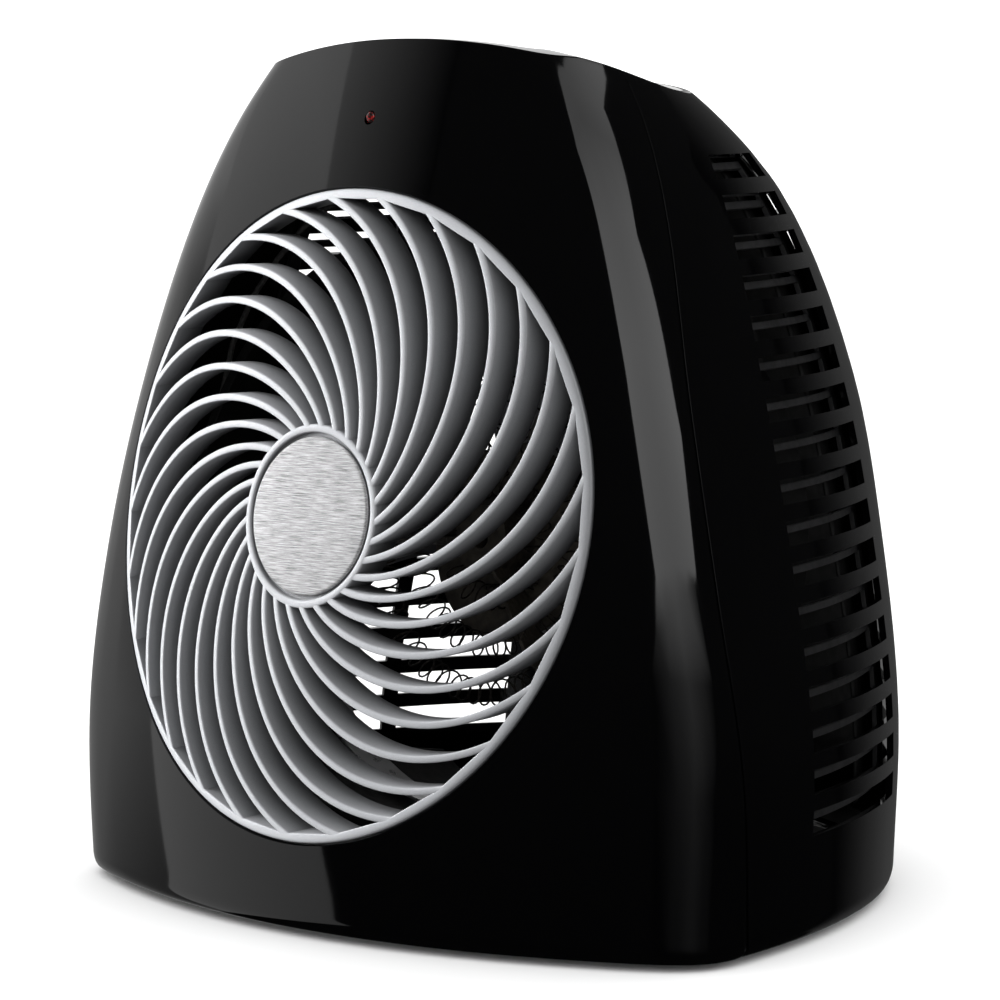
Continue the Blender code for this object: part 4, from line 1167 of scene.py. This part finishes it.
def make_rear_softboxes():
    """A faint glow low behind, and two boxes higher up behind the heater."""
    glow = [0.0, 0.03, 0.07, 0.09, 0.09, 0.07, 0.07, 0.09]
    softbox("rear_glow", [far_row((164, rise), (217, rise), [level * share for level in glow])
                          for rise, share in ((-30, 1.1), (-10, 1), (8, 1), (26, 0.4))])
    softbox("rear_box", [far_row((184, rise), (214, rise), [0.65, 0.75, 0.75, 0.65]) for rise in (34, 58)])
    softbox("rear_left_box", [far_row((232, rise), (258, rise), [0.7, 0.8, 0.7])
                              for rise in (30, 55)])


KEY_POWER = 330
ROOM_POWER = 1.6


def make_key_light():
    """A broad soft light ahead and to the left, which gloss doesn't mirror."""
    data = bpy.data.lights.new("key_light", 'AREA')
    data.shape = 'RECTANGLE'
    data.size = 1.0
    data.size_y = 1.6
    data.energy = KEY_POWER
    light = added("key_light", data)
    way = far_way(-62, 18)
    light.location = way * 1.8 + Vector((0, -0.1, 0.15))
    light.rotation_euler = way.to_track_quat('Z', 'Y').to_euler()
    light.visible_glossy = False
    light.visible_camera = False
    lit = bpy.data.collections.new("key_lit")
    for item in bpy.context.scene.objects:
        if item.name.startswith(("front_grille", "hub_badge")):
            lit.objects.link(item)
    light.light_linking.receiver_collection = lit


# the left panel stands upright at one x: its near and far edge as y over height, then the
# strengths over height of the room beside it and of the panel, and how the room dims at the edge
LEFT_X = -1.2
LEFT_DIM_Z = 0.0
LEFT_NEAR = ((-0.90, -0.10), (-0.25, -0.43), (-0.05, -0.34), (0.59, -0.22), (0.69, -0.14), (1.45, -0.16))
LEFT_FAR = ((-0.90, -1.70), (-0.47, -1.70), (-0.25, -1.59), (0.90, -0.85), (1.45, -0.20))
LEFT_ROOM = ((-0.90, 0.10), (-0.25, 0.16), (-0.05, 0.35), (0.44, 0.57), (0.59, 0.90), (1.05, 1.10),
             (1.45, 1.10))
LEFT_PANEL = ((-0.90, 0.50), (-0.25, 0.62), (-0.05, 0.70), (0.53, 0.67), (0.90, 1.00), (1.45, 1.05))
LEFT_EDGE_DIP = ((-0.90, 0.8), (-0.05, 0.9), (0.44, 0.4), (0.59, 0.95), (1.45, 1.0))
LEFT_FADE = ((0.67, 0.45), (0.90, 0.50), (1.05, 0.60), (1.45, 0.61))
FADE_Y = -1.0
FADE_Z = 0.65
# azimuth and height of each side of the right panel, its strength, and how its sides fade
RIGHT_SIDES = ((1.08, 1.0, 0.96, 1.0, 1.06), (0.25, 0.85, 1.15, 1.0, 0.2), (0.0, 0.6, 1.2, 0.6, 0.0))
RIGHT_ROWS = (
    ((135, 65), (170, 45), 1.0, 0), ((115, 69), (165, 46), 1.0, 0), ((35, 60), (145, 50), 1.1, 0),
    ((25, 50), (130, 45), 1.1, 0), ((40, 40), (115, 35), 1.8, 0), ((50, 30), (125, 20), 2.1, 0),
    ((45, 15), (110, 15), 1.8, 0), ((35, 10), (105, 15), 1.0, 1), ((25, 5), (105, 10), 0.35, 2),
    ((20, -5), (85, -5), 0.15, 2), ((20, -30), (85, -30), 0.0, 2))


def make_world():
    """A pale room that lights matt surfaces, while gloss sees a dark one, a little lighter above."""
    world = bpy.data.worlds.new("studio")
    bpy.context.scene.world = world
    world.use_nodes = True
    tree = world.node_tree
    pale = tree.nodes["Background"]
    pale.inputs["Color"].default_value = (1, 1, 1, 1)
    pale.inputs["Strength"].default_value = ROOM_POWER
    way = tree.nodes.new("ShaderNodeTexCoord")
    split = tree.nodes.new("ShaderNodeSeparateXYZ")
    rise = tree.nodes.new("ShaderNodeMapRange")
    for key, value in (("From Min", -0.3), ("From Max", 0.9), ("To Min", 0.008), ("To Max", 0.034)):
        rise.inputs[key].default_value = value
    dark = tree.nodes.new("ShaderNodeBackground")
    path = tree.nodes.new("ShaderNodeLightPath")
    mix = tree.nodes.new("ShaderNodeMixShader")
    for source, target in (
            (way.outputs["Generated"], split.inputs["Vector"]),
            (split.outputs["Z"], rise.inputs["Value"]),
            (rise.outputs["Result"], dark.inputs["Strength"]),
            (path.outputs["Is Glossy Ray"], mix.inputs["Fac"]),
            (pale.outputs["Background"], mix.inputs[1]),
            (dark.outputs["Background"], mix.inputs[2]),
            (mix.outputs["Shader"], tree.nodes["World Output"].inputs["Surface"])):
        tree.links.new(source, target)


def make_floor():
    size = 6.0
    mesh = bpy.data.meshes.new("floor")
    mesh.from_pydata([(-size, -size, 0), (size, -size, 0), (size, size, 0), (-size, size, 0)],
                     [], [(0, 1, 2, 3)])
    floor = added("floor", mesh)
    paper = Finish("pale_floor", (0.94, 0.94, 0.94), 0.9)
    paper.vary_colour(paper.noise(3, 2), (0.93, 0.93, 0.93), (0.95, 0.95, 0.95))
    mesh.materials.append(paper.material)
    floor.visible_glossy = False


def make_studio():
    bpy.context.scene.view_settings.view_transform = 'Standard'
    make_world()
    make_left_softbox()
    make_right_softbox()
    make_rear_softboxes()
    make_key_light()
    make_floor()


def make_camera():
    yaw, pitch, roll = 0.7375, 0.1015, 0.0216
    forward = Vector((-math.sin(yaw) * math.cos(pitch), math.cos(yaw) * math.cos(pitch),
                      -math.sin(pitch)))
    level = Vector((math.cos(yaw), math.sin(yaw), 0))
    upright = level.cross(forward)
    right = level * math.cos(roll) - upright * math.sin(roll)
    up = level * math.sin(roll) + upright * math.cos(roll)
    data = bpy.data.cameras.new("camera")
    data.lens = 137.03
    data.sensor_width = 36
    data.clip_start = 0.05
    data.clip_end = 50
    camera = added("camera", data)
    axes = Matrix((right, up, -forward)).transposed().to_4x4()
    camera.matrix_world = Matrix.Translation((0.91165, -1.02399, 0.27806)) @ axes
    bpy.context.scene.camera = camera


def dress_frame_nodes():
    """Give each frame node that stays in view its procedural finish."""
    for node, item in frame["nodes"].items():
        if not item.hide_render:
            item.data.materials.clear()
            item.data.materials.append(FINISH[SLOT_OF[node]])


make_front_shell()
make_rear_shell()
make_guard("intake_guard_right", GUARD_END_RIGHT, False)
make_guard("intake_guard_left", GUARD_END_LEFT, True)
make_shield()
make_panel()
make_grille()
make_badge()
make_lamp()
make_element()
make_spider()
make_duct()
make_motor()
make_fan()
make_control("selector", -1)
make_control("thermostat", 1)
make_base()
make_terminals()
dress_frame_nodes()
make_studio()
make_camera()

bpy.context.view_layer.update()
